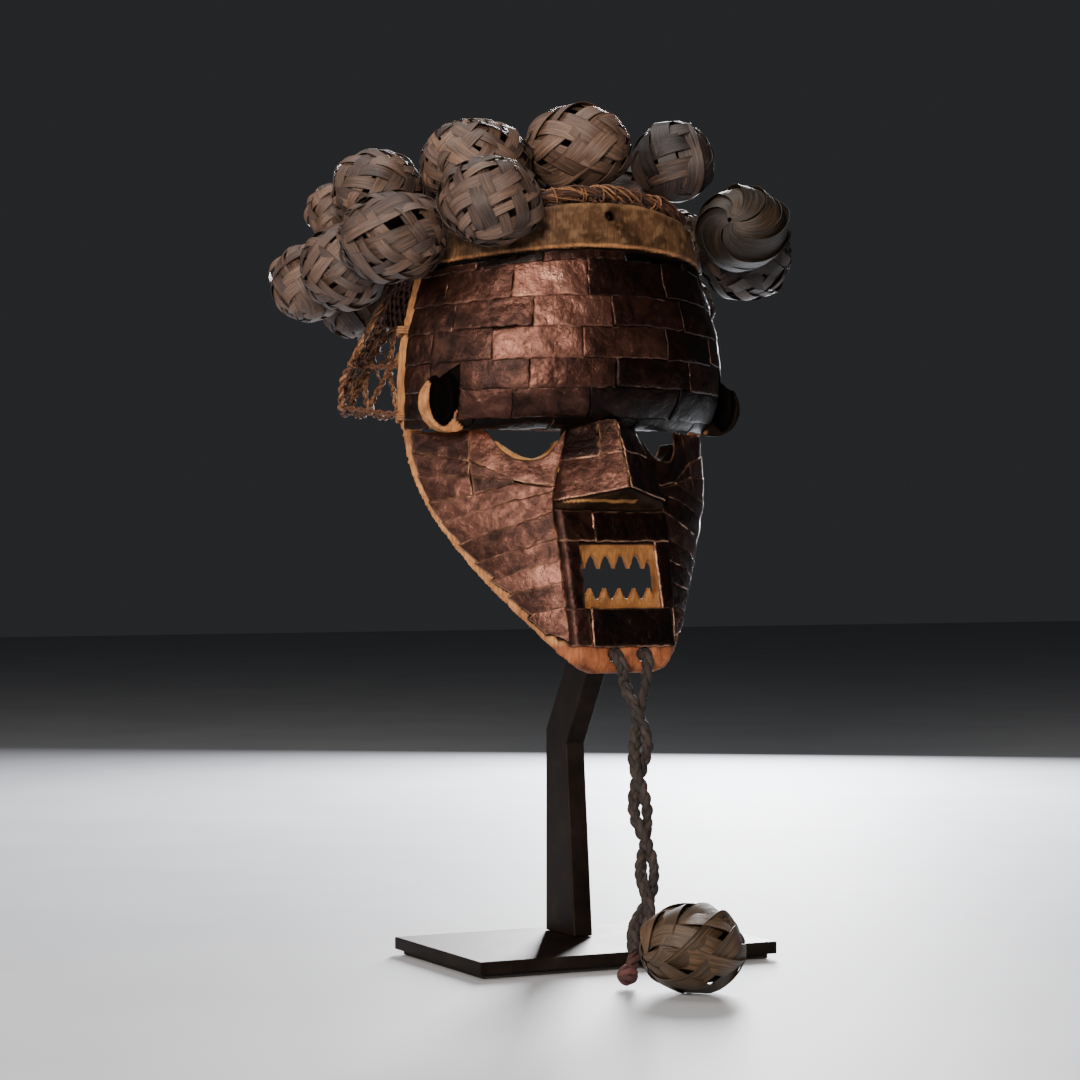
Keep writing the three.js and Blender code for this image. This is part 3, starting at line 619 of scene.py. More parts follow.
def braid_centre(index):
    """The middle of one braid, which leaves its hole and winds round the other one."""
    side = -1 if index == 0 else 1
    x = BRAID_HOLES[index]
    front = float(section(MUZZLE, BRAID_HOLE_Z)[1])
    points = [
        (x, front + 4, BRAID_HOLE_Z + 1.1),
        (x, front - 0.5, BRAID_HOLE_Z + 0.3),
        (x * 0.95, front - 4.7, BRAID_HOLE_Z - 3.7),
        (x * 0.8, front - 7.2, BRAID_HOLE_Z - 9.7),
    ]
    centre = spline(BRAID_ROUTE, BRAID_STEPS)
    length = lengths(centre)[-1]
    for i, (middle, tangent) in enumerate(zip(centre, tangents(centre))):
        at = i / (BRAID_STEPS - 1)
        angle = 2 * math.pi * at * length / PAIR_TURN
        spread = mix(PAIR_APART_AT_CHIN, PAIR_APART, float(smoothstep(at, 0, 0.12)))
        right = unit(PICTURE_RIGHT - tangent * (PICTURE_RIGHT @ tangent))
        out = np.cross(right, tangent)
        points.append(middle + side * spread * (math.cos(angle) * right + math.sin(angle) * out))
    return spline(points, 150)


def make_braid(name, index):
    """Three strands plaited flat, each passing over and under the next."""
    centre = braid_centre(index)
    run = lengths(centre)
    turn = 2 * math.pi * run / FLAT_TURN + 0.8 * index
    normal = crossing(centre)
    across = np.cross(tangents(centre), normal)
    flat = np.cos(turn)[:, None] * normal + np.sin(turn)[:, None] * across
    deep = np.cross(tangents(centre), flat)
    strands = []
    for k in range(3):
        phase = 2 * math.pi * (run / PLAIT_TURN + k / 3) + index
        uneven = 1 + 0.12 * field(centre, 9, 3 * index + k)
        path = centre + PLAIT_REACH * np.sin(phase)[:, None] * flat
        path = path + PLAIT_DEPTH * np.sin(2 * phase)[:, None] * deep
        strands.append(strand(path, None, uneven, 0.42 + 0.14 * k))
    made = swept(name + "_plaited", strands, *BRAID_STRAND, 10, BEARD)
    settle(made, name)
    return made, centre


KNOT_CENTRE = np.array([-41, -126, 7.6])
KNOT_WIDE, KNOT_TALL = 4.6, 4.4
KNOT_TAIL = [(-31.5, -121.5, 24), (-34.5, -123, 17.5), KNOT_CENTRE]
KNOT_CORD = (3.8, 3.6)


def make_knot():
    """The reddish knot in which both braids end, with the tail that leads to it."""
    turns = np.linspace(0, 3 * 2 * math.pi, 90)
    strands = []
    for k, tilt in enumerate((0.3, 1.5, 2.6)):
        ring = np.stack([
            KNOT_WIDE * np.cos(turns), KNOT_WIDE * np.sin(turns) * math.cos(tilt),
            KNOT_TALL * np.sin(turns) * math.sin(tilt)], -1)
        ring = ring + 0.6 * wander(ring, 3, (k, k + 5, k + 9))
        strands.append(strand(KNOT_CENTRE + ring, None, 1.0, 0.4 + 0.15 * k))
    strands += plies(spline(KNOT_TAIL, 24), 3, 2.2, 22, 0.5, 0.45)
    made = swept("beard_knot_tied", strands, *KNOT_CORD, 8, KNOT)
    return settle(made, "beard_knot")


# Plaited balls

CANE_THICK, BEARD_CANE_THICK = 0.7, 0.8
# How far the strips rise and sink, how far they turn in radians, and their width for the space
PLAIT_RISE, PLAIT_SWEEP, PLAIT_WIDE = 1.25, 3.0, 0.98
WOUND_RISE, WOUND_SWEEP, WOUND_WIDE = 0.3, 3.6, 1.35
BALL_SINK = 0.45  # how far under the ball's radius the highest strips lie
FLOOR_GAP = 0.2


def ball_strands(centre, radii, count, pole, seed, tone, wound=False, turn=PLAIT_SWEEP):
    """Cane strips over a ball from pole to pole. Two hands of strips pass over and under each
    other in twos. In a wound ball there is one hand, and each strip laps over the next."""
    pole = unit(np.asarray(pole, float))
    side = unit(np.cross(pole, np.eye(3)[np.argmin(np.abs(pole))]))
    other = np.cross(pole, side)
    plaited = not wound
    turn = turn if plaited else WOUND_SWEEP
    rise = PLAIT_RISE if plaited else WOUND_RISE
    theta = np.linspace(0.12 if plaited else 0.05, math.pi - 0.12, 44)
    share = theta / math.pi - 0.5
    rng = np.random.default_rng(seed)
    made = []
    for hand in (1, -1) if plaited else (1,):
        for i in range(count):
            swing = turn * share + 0.05 * rng.normal() * np.sin(theta)
            around = 2 * math.pi * i / count + hand * swing + 0.05 * rng.normal()
            around = around + 0.12 * np.sin(theta * (1 + 2 * rng.random()) + 6 * rng.random())
            step = swing * count / math.pi
            wave = np.cos(math.pi / 2 * (2 * i + hand * step) - math.pi / 4)
            direction = np.cos(theta)[:, None] * pole
            direction = direction + (np.sin(theta) * np.cos(around))[:, None] * side
            direction = direction + (np.sin(theta) * np.sin(around))[:, None] * other
            lift = hand * rise * wave - rise - BALL_SINK + 0.3 * rng.normal()
            lift = lift + 0.4 * field(centre + direction * 20, 12, seed + i)
            if plaited and rng.random() < 0.3:  # a strip that has sprung up
                lift = lift + 2.2 * np.exp(-((theta - 0.8 - 1.6 * rng.random()) / 0.3) ** 2)
            points = centre + direction * (radii + lift[:, None])
            girth = np.clip(np.sin(theta) * 1.3, 0.3, 1) * (1 + 0.14 * rng.normal())
            outwards = unit(direction / radii)
            tilt = np.cross(tangents(points), outwards)
            lean = 0.18 * rng.normal() if plaited else 0.15 + 0.08 * rng.normal()
            facing = unit(outwards + lean * tilt)
            made.append(strand(points, facing, girth, tone + 0.08 * rng.normal()))
    spacing = 2 * math.pi * radii[0] / count * math.sqrt(0.5)
    return made, (PLAIT_WIDE if plaited else WOUND_WIDE) * spacing


# Centre, half width, half height, slope of the pole in degrees, strips each way and tone
BALLS = [
    ((-132.9, 135.5, 423.7), 25.1, 25.7, 75, 12, 0.55),
    ((-132.1, 79.3, 428.7), 28.2, 27.5, 8, 14, 0.48),
    ((-105.4, 87.5, 478.2), 29.7, 27.8, 20, 14, 0.5),
    ((-125.2, 18.5, 443.1), 34.1, 28.6, -15, 16, 0.44),
    ((-112.5, 137.7, 470.6), 20.7, 20, 80, 12, 0.6),
    ((-56.7, 47.3, 495.1), 34.8, 28.2, 100, 16, 0.55),
    ((-83.5, -31.7, 461.8), 31.2, 27.7, 70, 14, 0.5),
    ((11.8, 39.5, 507.3), 34.6, 28, 10, 12, 0.6),
    ((71.7, 22.6, 500.5), 26.2, 26.2, 60, 8, 0.3),
    ((101.9, -14.3, 455.3), 28.2, 26.9, 0, 9, 0.12),
    ((132.7, 35.5, 444.5), 30.7, 29.7, 0, 14, 0.26),
    ((111.5, 93, 454), 27.3, 25.2, 60, 12, 0.5),
    ((131, 127, 416), 27.3, 25.2, 15, 12, 0.48),
    ((84, 158, 434), 27.8, 25.6, 95, 12, 0.5),
    ((-83, 173, 416), 27.8, 25.6, 85, 12, 0.5),
    ((-28, 182.5, 442), 28.3, 26.1, -20, 12, 0.47),
    ((33, 183.5, 438), 28.3, 26.1, 70, 12, 0.52),
    ((-33, 112.2, 490.8), 27.8, 25.6, 10, 12, 0.5),
    ((22, 99.9, 495.3), 27.3, 25.2, 80, 12, 0.5),
    ((71, 72.6, 485.8), 25.2, 23.3, 20, 12, 0.46),
    ((61.2, 131, 474.3), 26.8, 24.7, 100, 12, 0.5),
    ((5.8, 147.7, 475.7), 26.3, 24.2, -10, 12, 0.53),
    ((-66.4, 140, 461.3), 25.2, 23.3, 65, 12, 0.49),
]
# The ball whose strips are wound in a swirl, and the pole that they are wound about
WOUND = {10: (-0.74, -0.66, 0.12)}


def make_balls():
    for i, (centre, across, tall, slope, count, tone) in enumerate(BALLS, 1):
        radii = np.array([across, across, tall])
        wound = i in WOUND
        slope = math.radians(slope)
        pole = WOUND[i] if wound else (
            *(PICTURE_RIGHT[:2] * math.cos(slope)), math.sin(slope))
        strands, wide = ball_strands(
            np.array(centre, float), radii, count, pole, 40 + i, tone, wound)
        name = f"headdress_ball_{i:02d}"
        made = swept(name + "_plaited", strands, wide, CANE_THICK, 6,
                     CANE_WARM if wound else CANE, True)
        settle(made, name)


BEARD_BALL_CENTRE = np.array([-16.5, -158.3, 25.6])
BEARD_BALL_RADII = np.array([31, 31, 25.3])


def make_beard_ball():
    strands, wide = ball_strands(BEARD_BALL_CENTRE, BEARD_BALL_RADII, 10,
                                 (0.95, -0.1, 0.25), 7, 0.36, turn=2.4)
    made = swept("beard_ball_plaited", strands, wide, BEARD_CANE_THICK, 6, CANE_WARM, True)
    for vertex in made.data.vertices:
        vertex.co.z = max(vertex.co.z, FLOOR_GAP * MM)
    return settle(made, "beard_ball")


def make_beard():
    ball = make_beard_ball()
    knot = make_knot()
    for index, name in enumerate(("beard_braid_left", "beard_braid_right")):
        made, centre = make_braid(name, index)


# Copper sheets

SHEET_THICK = 0.8
LOWEST = 0.5  # the least height of a sheet's face over the bare surface
FACE_SIZE = 1.1  # about the size of the mesh's faces on a sheet
FRAY = 0.75  # how far the cut edges wander
DENTS, DIMPLES = 0.55, 0.12  # how deep the hammer marks and the creases are
TURNED_DOWN, TURN_WIDTH = 0.3, 1.2  # how far the edges bend inwards, and how wide that is
RUBBED_WIDTH = 0.35


def beaten_sheet(where, lift, seed, tone, edge_wear_and_shade=0.5):
    """A beaten sheet over a patch: where(a, b) gives the bare surface for a and b from 0 to 1.
    lift gives the heights of its left, right, lower and upper edges over that surface, and
    the last argument says how bright its edges are: rubbed wear, lowered where a caller paints
    shade."""
    probe = [where(np.array([a]), np.array([b]))[0] for a, b in
             ((0, 0.5), (1, 0.5), (0.5, 0), (0.5, 1))]
    width = np.linalg.norm(probe[1] - probe[0])
    height = np.linalg.norm(probe[3] - probe[2])
    columns = max(int(width / FACE_SIZE), 3)
    rows = max(int(height / FACE_SIZE), 3)
    a, b = np.meshgrid(np.linspace(0, 1, columns + 1), np.linspace(0, 1, rows + 1))
    a, b = a.ravel(), b.ravel()
    wobble = [field(np.stack([v, 0 * v + k, 0 * v], -1), 7, seed, 3) for k, v in
              ((0, b * height), (3, b * height), (6, a * width), (9, a * width))]
    a_in = a + FRAY / width * mix(wobble[0], wobble[1], a)
    b_in = b + FRAY / height * mix(wobble[2], wobble[3], b)
    points = where(a_in, b_in)
    nudge = 1e-3
    normal = np.cross(where(a_in + nudge, b_in) - where(a_in - nudge, b_in),
                      where(a_in, b_in + nudge) - where(a_in, b_in - nudge))
    flip = normal[:, 1].sum() > 0
    normal = unit(-normal if flip else normal)
    near = np.minimum.reduce([a * width, (1 - a) * width, b * height, (1 - b) * height])
    left, right, low, high = lift
    tall = mix(left, right, a) + mix(low, high, b)
    tall = tall + DENTS * field(points, 12, seed + 1) + DIMPLES * field(points, 3.4, seed + 2)
    tall = np.maximum(tall - TURNED_DOWN * np.exp(-near / TURN_WIDTH), LOWEST)
    top = points + normal * tall[:, None]
    bottom = points + normal * (tall - SHEET_THICK)[:, None]
    edge = np.exp(-near / RUBBED_WIDTH) * np.clip(edge_wear_and_shade + 0.8 * field(points, 6, seed + 3), 0, 1)
    return top, bottom, columns, rows, flip, edge, tone + 0 * a


def joined_sheets(node_name, sheets):
    """One piece of all the sheets that a solid stands for."""
    points, faces, edges, tones, start = [], [], [], [], 0
    for top, bottom, columns, rows, flip, edge, tone in sheets:
        count = len(top)
        grid = np.arange(count).reshape(rows + 1, columns + 1)
        quads = np.stack([grid[:-1, :-1], grid[:-1, 1:], grid[1:, 1:], grid[1:, :-1]], -1)
        quads = quads.reshape(-1, 4)
        rim = np.concatenate([grid[0], grid[1:, -1], grid[-1, -2::-1], grid[-2:0:-1, 0]])
        after = np.roll(rim, -1)
        walls = np.stack([rim, rim + count, after + count, after], -1)
        patch = np.concatenate([quads, quads[:, ::-1] + count, walls])
        if flip:
            patch = patch[:, ::-1]
        faces += (patch + start).tolist()
        points += [top, bottom]
        edges += [edge, edge]
        tones += [tone, tone]
        start += 2 * count
    made = mesh_object(node_name + "_sheets", np.concatenate(points), faces, {
        "edge": np.concatenate(edges), "tone": np.concatenate(tones)})
    made.data.materials.append(COPPER)
    return settle(made, node_name)


COPPER_ROWS = [328.5, 335, 352.5, 370.5, 390, 409, 431, 436]
# A joint of each row, in degrees from the middle
ROW_JOINTS = [10, -7, 0.7, -12.5, -0.7, -8.5, 4]
ROW_PITCH = 28.6
ROW_TONE = [-0.4, -0.16, 0, 0, 0, -0.04, -0.2]
TOP_ROW = len(ROW_JOINTS) - 1
# Degrees from the middle: where a row ends, the last place for a joint, and the bare ear
ROW_END, LAST_JOINT = 83, 76
EAR_FRONT, EAR_BACK = 55, 68
EAR_ROWS = (0, 1, 2)
# Degrees from the middle: where painted shade starts, to the right, and the middle and half width
# of the sheets with a painted highlight
PAINTED_SHADE_FROM, PAINTED_HIGHLIGHT_MIDDLE, PAINTED_HIGHLIGHT_HALF = 6, -19, 17
HOLLOW_TOP = (357, 369)  # lower edge of the sheet over the ear, at its back and its front


def forehead_patch(left, right, low, high, skew):
    """A patch of one row: left and right in degrees, and a pair of low heights where it slants."""
    low_left, low_right = low if isinstance(low, tuple) else (low, low)

    def where(a, b):
        bottom = mix(low_left + skew[0], low_right + skew[1], a) - 1.2
        top = high - 0.4 + mix(skew[2], skew[3], a)
        return forehead(np.radians(mix(left, right, a)), mix(bottom, top, b))
    return where


def make_forehead_copper():
    rng = np.random.default_rng(5)
    sheets = []
    for row, (low, high) in enumerate(zip(COPPER_ROWS, COPPER_ROWS[1:])):
        inner = [ROW_JOINTS[row] + ROW_PITCH * k for k in range(-4, 5)]
        by_ear = row in EAR_ROWS
        limit = EAR_FRONT - 6 if by_ear else LAST_JOINT
        inner = [j + rng.normal() * 1.2 for j in inner if -limit < j < limit]
        end = EAR_FRONT if by_ear else ROW_END
        ends = [-end, *inner, end]
        patches = [(left, right, low, high) for left, right in zip(ends, ends[1:])]
        if by_ear:
            patches += [(-ROW_END, -EAR_BACK, low, high), (EAR_BACK, ROW_END, low, high)]
        if row == EAR_ROWS[-1]:
            patches.append((-EAR_BACK - 0.5, -EAR_FRONT + 0.5, HOLLOW_TOP, high))
            patches.append((EAR_FRONT - 0.5, EAR_BACK + 0.5, HOLLOW_TOP[::-1], high))
        for left, right, bottom, top in patches:
            where = forehead_patch(left, right, bottom, top, rng.normal(size=4) * 0.5)
            lift = (0.7 + 0.4 * rng.random(), 0.4, 0.3 if row == TOP_ROW else 0.8, 0.1)
            middle = (left + right) / 2
            # Painted shade: sheets right of the middle are darker, with duller edges
            painted_shade_side = middle > PAINTED_SHADE_FROM
            # Painted highlight: a band of sheets left of the middle, between the ear rows and the
            # top row, is paler
            painted_highlight = (abs(middle - PAINTED_HIGHLIGHT_MIDDLE) < PAINTED_HIGHLIGHT_HALF
                        and EAR_ROWS[-1] < row < TOP_ROW)
            tone = 0.5 + 0.08 * rng.normal() + ROW_TONE[row] * (abs(middle) < 52.5)
            tone += 0.25 * painted_highlight - 0.13 * painted_shade_side
            edge_wear_and_shade = -0.45 if painted_shade_side else -0.1
            sheets.append(beaten_sheet(where, lift, int(rng.integers(1000)), tone, edge_wear_and_shade))
    return joined_sheets("copper_forehead", sheets)


# Heights of the edges of the cheek's strips at four places from the rim to the nose
CHEEK_AT = [0.05, 0.43, 0.73, 0.99]
CHEEK_EDGES = [
    (325, 326, 326, 326),
    (313, 307, 295, 291.5),
    (298, 298, 294, 291),
    (282, 286, 293, 290.5),
    (269, 276, 283, 288),
    (255, 263, 268.5, 276),
    (243, 250, 254, 260),
    (232, 238, 243, 246),
    (221, 228.5, 230, 233),
    (208, 214, 217, 218),
    (200, 203, 200, 197),
]
# Where each strip starts at the rim, at its upper and its lower corner
CHEEK_ENDS = [(0.06, 0.06), (0.06, 0.07), (0.06, 0.08), (0.07, 0.1), (0.08, 0.12),
              (0.09, 0.17), (0.11, 0.25), (0.14, 0.31), (0.2, 0.35), (0.22, 0.36)]
CHEEK_JOINT = 0.43
# The strips that have a joint: where their second sheet starts and ends
CHEEK_JOINED = {0: (0.43, 0.99), 1: (0.435, 0.72), 2: (0.435, 0.72)}


def eye_lower_edge(x):
    """The lower outline of the eye opening: height for a distance from the middle."""
    s = np.clip((np.abs(x) - EYE_INNER) / (EYE_OUTER - EYE_INNER), 0, 1)
    return EYE_HIGH - 4 * (EYE_HIGH - EYE_LOW) * s * (1 - s)


def cheek_patch(side, upper, lower, start, end):
    """A patch of a cheek between two of its edges, from start to end along it."""
    def where(a, b):
        first = mix(start[1], start[0], b)
        t = mix(first, end, a)
        z_low = np.interp(t, CHEEK_AT, lower)
        z_high = np.interp(t, CHEEK_AT, upper)
        for _ in range(3):
            x = np.abs(cheek(t, z_high, side)[..., 0])
            inside = (x > EYE_INNER - 1) & (x < EYE_OUTER + 1)
            z_high = np.where(inside, np.minimum(z_high, eye_lower_edge(x) - 0.8), z_high)
        z_low = np.minimum(z_low, z_high - 1)
        return cheek(t, mix(z_low - 0.9, z_high, b), side)
    return where


def make_cheek_copper(side, name):
    rng = np.random.default_rng(11 + side)
    patches = []
    for k, start in enumerate(CHEEK_ENDS):
        upper, lower = CHEEK_EDGES[k], CHEEK_EDGES[k + 1]
        if k in CHEEK_JOINED:
            second, end = CHEEK_JOINED[k]
            patches.append((upper, lower, start, CHEEK_JOINT))
            patches.append((upper, lower, (second, second), end))
        else:
            patches.append((upper, lower, start, CHEEK_AT[-1]))
    sheets = []
    for upper, lower, start, end in patches:
        where = cheek_patch(side, upper, lower, start, end)
        lift = (0.8, 0.5, 0.3 + 0.5 * rng.random(), 0.7 + 0.5 * rng.random())
        tone = 0.5 + 0.11 * rng.normal()
        sheets.append(beaten_sheet(where, lift, int(rng.integers(1000)), tone, 0.6))
    return joined_sheets(name, sheets)


NOSE_BRIDGE, NOSE_TIP = np.array([0, -35.0, 331]), np.array([0, -53.0, 290])
NOSE_WING, NOSE_BROW = np.array([36.0, -31, 282]), np.array([21.0, -14, 331])
NOSE_SIDE_DEPTH = 8.5
# Side, inner and outer edge, lower and upper edge, and tone of each sheet
NOSE_SHEETS = [
    (-1, -0.02, 2, 0.01, 0.54, 0.56),
    (-1, 0.36, 2, 0.5, 1.0, 0.3),
    (-1, -0.02, 0.38, 0.52, 1.02, 0.5),
    (1, 0.03, 2, 0.01, 0.58, 0.4),
    (1, 0.03, 2, 0.55, 1.0, 0.36),
]


def nose_patch(side, inner, outer, low, high):
    """A patch of a flank of the nose: past 1 it turns back along the side of the nose."""
    wing = NOSE_WING * (side, 1, 1)
    brow = NOSE_BROW * (side, 1, 1)

    def where(a, b):
        u = mix(inner, outer, a)[:, None]
        v = mix(low, high, b)[:, None]
        ridge = NOSE_TIP + (NOSE_BRIDGE - NOSE_TIP) * v
        edge = wing + (brow - wing) * v
        back = np.maximum(u - 1, 0) * NOSE_SIDE_DEPTH
        return ridge + (edge - ridge) * np.minimum(u, 1) + back * np.array([0, 1, 0])
    return where


def make_nose_copper():
    sheets = []
    for k, (side, inner, outer, low, high, tone) in enumerate(NOSE_SHEETS):
        where = nose_patch(side, inner, outer, low, high)
        lift = (0.9, 0.9, 0.5 + 0.4 * (low > 0.4), 0.3)
        sheets.append(beaten_sheet(where, lift, 300 + k, tone))
    return joined_sheets("copper_nose", sheets)


MUZZLE_CORNER = 2.5
MUZZLE_BACK = 41  # how far round from the middle the copper goes
# Left, right, low and high edge, height over the wood, and tone of each sheet
MUZZLE_SHEETS = [
    (-MUZZLE_BACK, -14, MOUTH_HIGH + 3.4, MUZZLE_TOP + 0.6, 1.0, 0.42),
    (-15, MUZZLE_BACK, MOUTH_HIGH + 3, MUZZLE_TOP, 0.9, 0.3),
    (-MUZZLE_BACK, -23.5, MUZZLE_COPPER_END + 0.5, MOUTH_LOW - 0.4, 0.9, 0.5),
    (-22.6, 33.5, MUZZLE_COPPER_END, MOUTH_LOW - 0.2, 1.0, 0.27),
    (34, MUZZLE_BACK, MUZZLE_COPPER_END, MOUTH_LOW, 0.8, 0.4),
    (-MUZZLE_BACK, -MOUTH_HALF - 0.4, MOUTH_LOW - 1.5, MOUTH_HIGH + 4, 0.4, 0.42),
    (MOUTH_HALF + 0.6, MUZZLE_BACK, MOUTH_LOW - 1.5, MOUTH_HIGH + 4, 0.4, 0.3),
]


def muzzle_round(s, z):
    """The muzzle's front and sides: s runs round it from the middle, and turns at its corners."""
    half, front = section(MUZZLE, z)
    corner = MUZZLE_CORNER
    turn = np.clip((np.abs(s) - half + corner) / corner, 0, math.pi / 2)
    beyond = np.maximum(np.abs(s) - half + corner - corner * math.pi / 2, 0)
    x = np.minimum(np.abs(s), half - corner) + corner * np.sin(turn)
    y = front + corner * (1 - np.cos(turn)) + beyond
    return np.stack([np.sign(s) * x, y, z + 0 * s], -1)


def make_muzzle_copper():
    sheets = []
    for k, (left, right, low, high, lift, tone) in enumerate(MUZZLE_SHEETS):

        def where(a, b, left=left, right=right, low=low, high=high):
            return muzzle_round(mix(left, right, a), mix(low, high, b))

        sheets.append(beaten_sheet(where, (0.5, 0.4, lift, lift * 0.4), 200 + k, tone))
    return joined_sheets("copper_muzzle", sheets)


# The carved shell


def vectors_of(collection, key):
    flat = np.zeros(len(collection) * 3, np.float32)
    collection.foreach_get(key, flat)
    return flat.reshape(-1, 3).astype(float)


def tree_of(objects):
    """A search tree over the vertices of some objects, in millimetres."""
    points = np.concatenate([vectors_of(o.data.vertices, "co") / MM for o in objects])
    tree = kdtree.KDTree(len(points))
    for i, p in enumerate(points):
        tree.insert(p, i)
    tree.balance()
    return tree


BAND_HOLE_X, BAND_HOLE_Z = -1, 457
STREAK_Z = 282.2  # a bare streak in the shadow under the nose
FOREHEAD_FROM = 334  # the height at which the forehead's copper takes over from the cheeks'


def paint_shell(points, normals, copper_tree):
    """The broad stains of the wood and its painted shade, as one colour for each vertex."""
    x, y, z = points.T
    aside = np.abs(x)
    half, rim, front = section(FOREHEAD, z)
    level = z + row_drop(z) * np.clip(aside / half, 0, 1) ** 2
    out = np.hypot(x / half, np.minimum(y - rim, 0) / (rim - front))
    face_half, face_rim, face_edge, face_front = section(FACE, z)
    t = np.clip((face_half - aside) / (face_half - face_edge), 0, 1)
    outer = np.where(z > FOREHEAD_FROM, out > 0.955, y < mix(face_rim, face_front, t) + 5)
    near = np.array([copper_tree.find(p)[2] for p in points])
    blotch = field(points, 16, 2, 3)
    fine = field(points, 5, 4, 3)
    colour = np.tile(np.array(linear("#6b4526")[:3]), (len(points), 1))

    def lay(hex_colour, amount):
        nonlocal colour
        amount = np.clip(amount, 0, 1)[:, None]
        colour = mix(colour, np.array(linear(hex_colour)[:3]), amount)

    # Bare wood: stained inside, pale outside, and pale at the back where it was rubbed
    lay("#3b2616", 0.6 * smoothstep(blotch, -0.1, 0.5))
    lay("#c98c56", outer)
    lay("#96633a", 0.6 * outer * smoothstep(fine, 0.0, 0.5))
    lay("#bd8049", 0.8 * smoothstep(normals[:, 1], 0.5, 0.8) * (z < 440) * (aside > 30))
    # The band above the copper, and painted shadow in the groove under it
    band = smoothstep(level, BAND_LOW + 0.5, BAND_LOW + 2.5) * outer
    lay("#60442b", band)
    lay("#3b291a", 0.85 * band * smoothstep(blotch, -0.05, 0.4))
    lay("#806040", 0.7 * band * smoothstep(fine, 0.1, 0.5))
    lay("#9c7850", 0.7 * band * smoothstep(level, BAND_TOP - 4, BAND_TOP - 1))
    lay("#0f0a07", outer * smoothstep(level, 428, 431) * (1 - smoothstep(level, 437.5, 439)))
    # Painted shade on the wood of the nose and the muzzle, seen under the nose, in the mouth and
    # between the sheets
    block = outer * (aside < MUZZLE_BACK) * smoothstep(z, 195, 198) * (1 - smoothstep(z, 330, 334))
    lay("#150e0a", 0.96 * block)
    streak = np.abs(z - STREAK_Z - 0.8 * field(points * (1, 1, 0), 9, 3))
    lay("#a8773c", outer * (x > -35) * (x < 12) * (1 - smoothstep(streak, 0.5, 1)))
    # Painted shade on the wood within 1.2 mm of the copper, in the gaps and along the sheets'
    # edges, but not by the cheeks' rim
    by_rim = np.where(z > FOREHEAD_FROM, 1, smoothstep(t, 0.06, 0.14))
    lay("#140d0a", smoothstep(-near, -1.8, -1.2) * by_rim * outer)
    # Rims of the eyes, pale on the left and painted shade on the right; painted shade in the hole
    # in the band; the hollows round the ears; and painted shade over the right ear
    eye_rim = (aside > 20) * (aside < 68) * (z > 300) * (z < 330) * outer
    lay("#c08d52", eye_rim * (x < 0))
    lay("#150e0a", eye_rim * (x > 0))
    lay("#0c0806", outer * smoothstep(-np.hypot(x - BAND_HOLE_X, z - BAND_HOLE_Z), -4, -3))
    lay("#0b0706", outer * (aside < 98) * (aside > 82) * (z > 347) * (z < 374))
    lay("#1a120d", smoothstep(x, 84, 87) * (z > 318) * (z < 366) * (y < 20) * (y > 0))
    # The chin and the teeth, and last the ears, black inside
    chin = outer * (1 - smoothstep(z, 193, 197))
    lay("#a55f38", 0.9 * chin)
    lay("#4a2417", 0.7 * chin * smoothstep(blotch, 0.0, 0.4))
    teeth = (aside < MOUTH_HALF + 1) * (z > MOUTH_LOW - 1) * (z < MOUTH_HIGH + 1)
    lay("#a26d36", 0.9 * teeth * (y < -28))
    ear = ((aside - EAR_HOLE_X) / 9.3) ** 2 + ((z - EAR_HOLE_Z) / 16.8) ** 2
    lay("#050403", (ear < 1) * (y < 10.5) * (y > -32) * outer)
    lay("#050403", (ear < 1.02) * (y > 1) * (y < 13))
    return np.concatenate([colour, np.ones((len(points), 1))], 1)


VOXEL = 1.45  # size of the shell's even faces
CUT_SIZE, CUT_DEPTH = 12, 0.5  # marks that the adze left
WEAR_DEPTH = 0.25


def make_shell(copper_pieces):
    source = copy_of_solid("mask_shell")
    remesh = source.modifiers.new("even_faces", "REMESH")
    remesh.mode = "VOXEL"
    remesh.voxel_size = VOXEL * MM
    smooth = source.modifiers.new("worn_edges", "SMOOTH")
    smooth.iterations = 5
    plain = evaluated_mesh(source)
    points = vectors_of(plain.vertices, "co") / MM
    normals = vectors_of(plain.vertex_normals, "vector")
    cuts = np.array([noise.voronoi(Vector(p) / CUT_SIZE)[0][0] for p in points])
    marks = CUT_DEPTH * (cuts - 0.5) + WEAR_DEPTH * field(points, 5, 8)
    moved = points + normals * marks[:, None]
    plain.vertices.foreach_set("co", (moved * MM).astype(np.float32).ravel())
    paint = paint_shell(points, normals, tree_of(copper_pieces))
    attribute = plain.attributes.new("paint", "FLOAT_COLOR", "POINT")
    attribute.data.foreach_set("color", paint.astype(np.float32).ravel())
    plain.shade_smooth()
    return finished("mask_shell_carved", plain, WOOD, "mask_shell")


# The headdress

RING_CORDS, RING_WISPS = 9, 34
RING_CORD, RING_WISP = (2.3, 2.1), (1.3, 1.1)
RING_END = 52  # degrees from the middle
RING_ABOVE, RING_INSIDE = 5.5, 3  # from the band's top edge to the ring's middle
RING_HUB = 58  # the y of the point that it goes round


def ring_cords(path, rng):
    strands = []
    for k in range(RING_CORDS):
        cord = plies(path, 1, 0.8 + 2.4 * rng.random(), 60 + 70 * rng.random(),
                     6 * rng.random(), 0.15 + 0.4 * rng.random())[0]
        cord.points[:] = cord.points + 1.3 * wander(cord.points, 9, range(3 * k, 3 * k + 3))
        cord.girth[:] = 1 + 0.35 * field(cord.points, 6, k)
        cord.tone[:] = cord.tone + 0.4 * field(cord.points, 6, k + 20)
        strands.append(cord)
    return strands


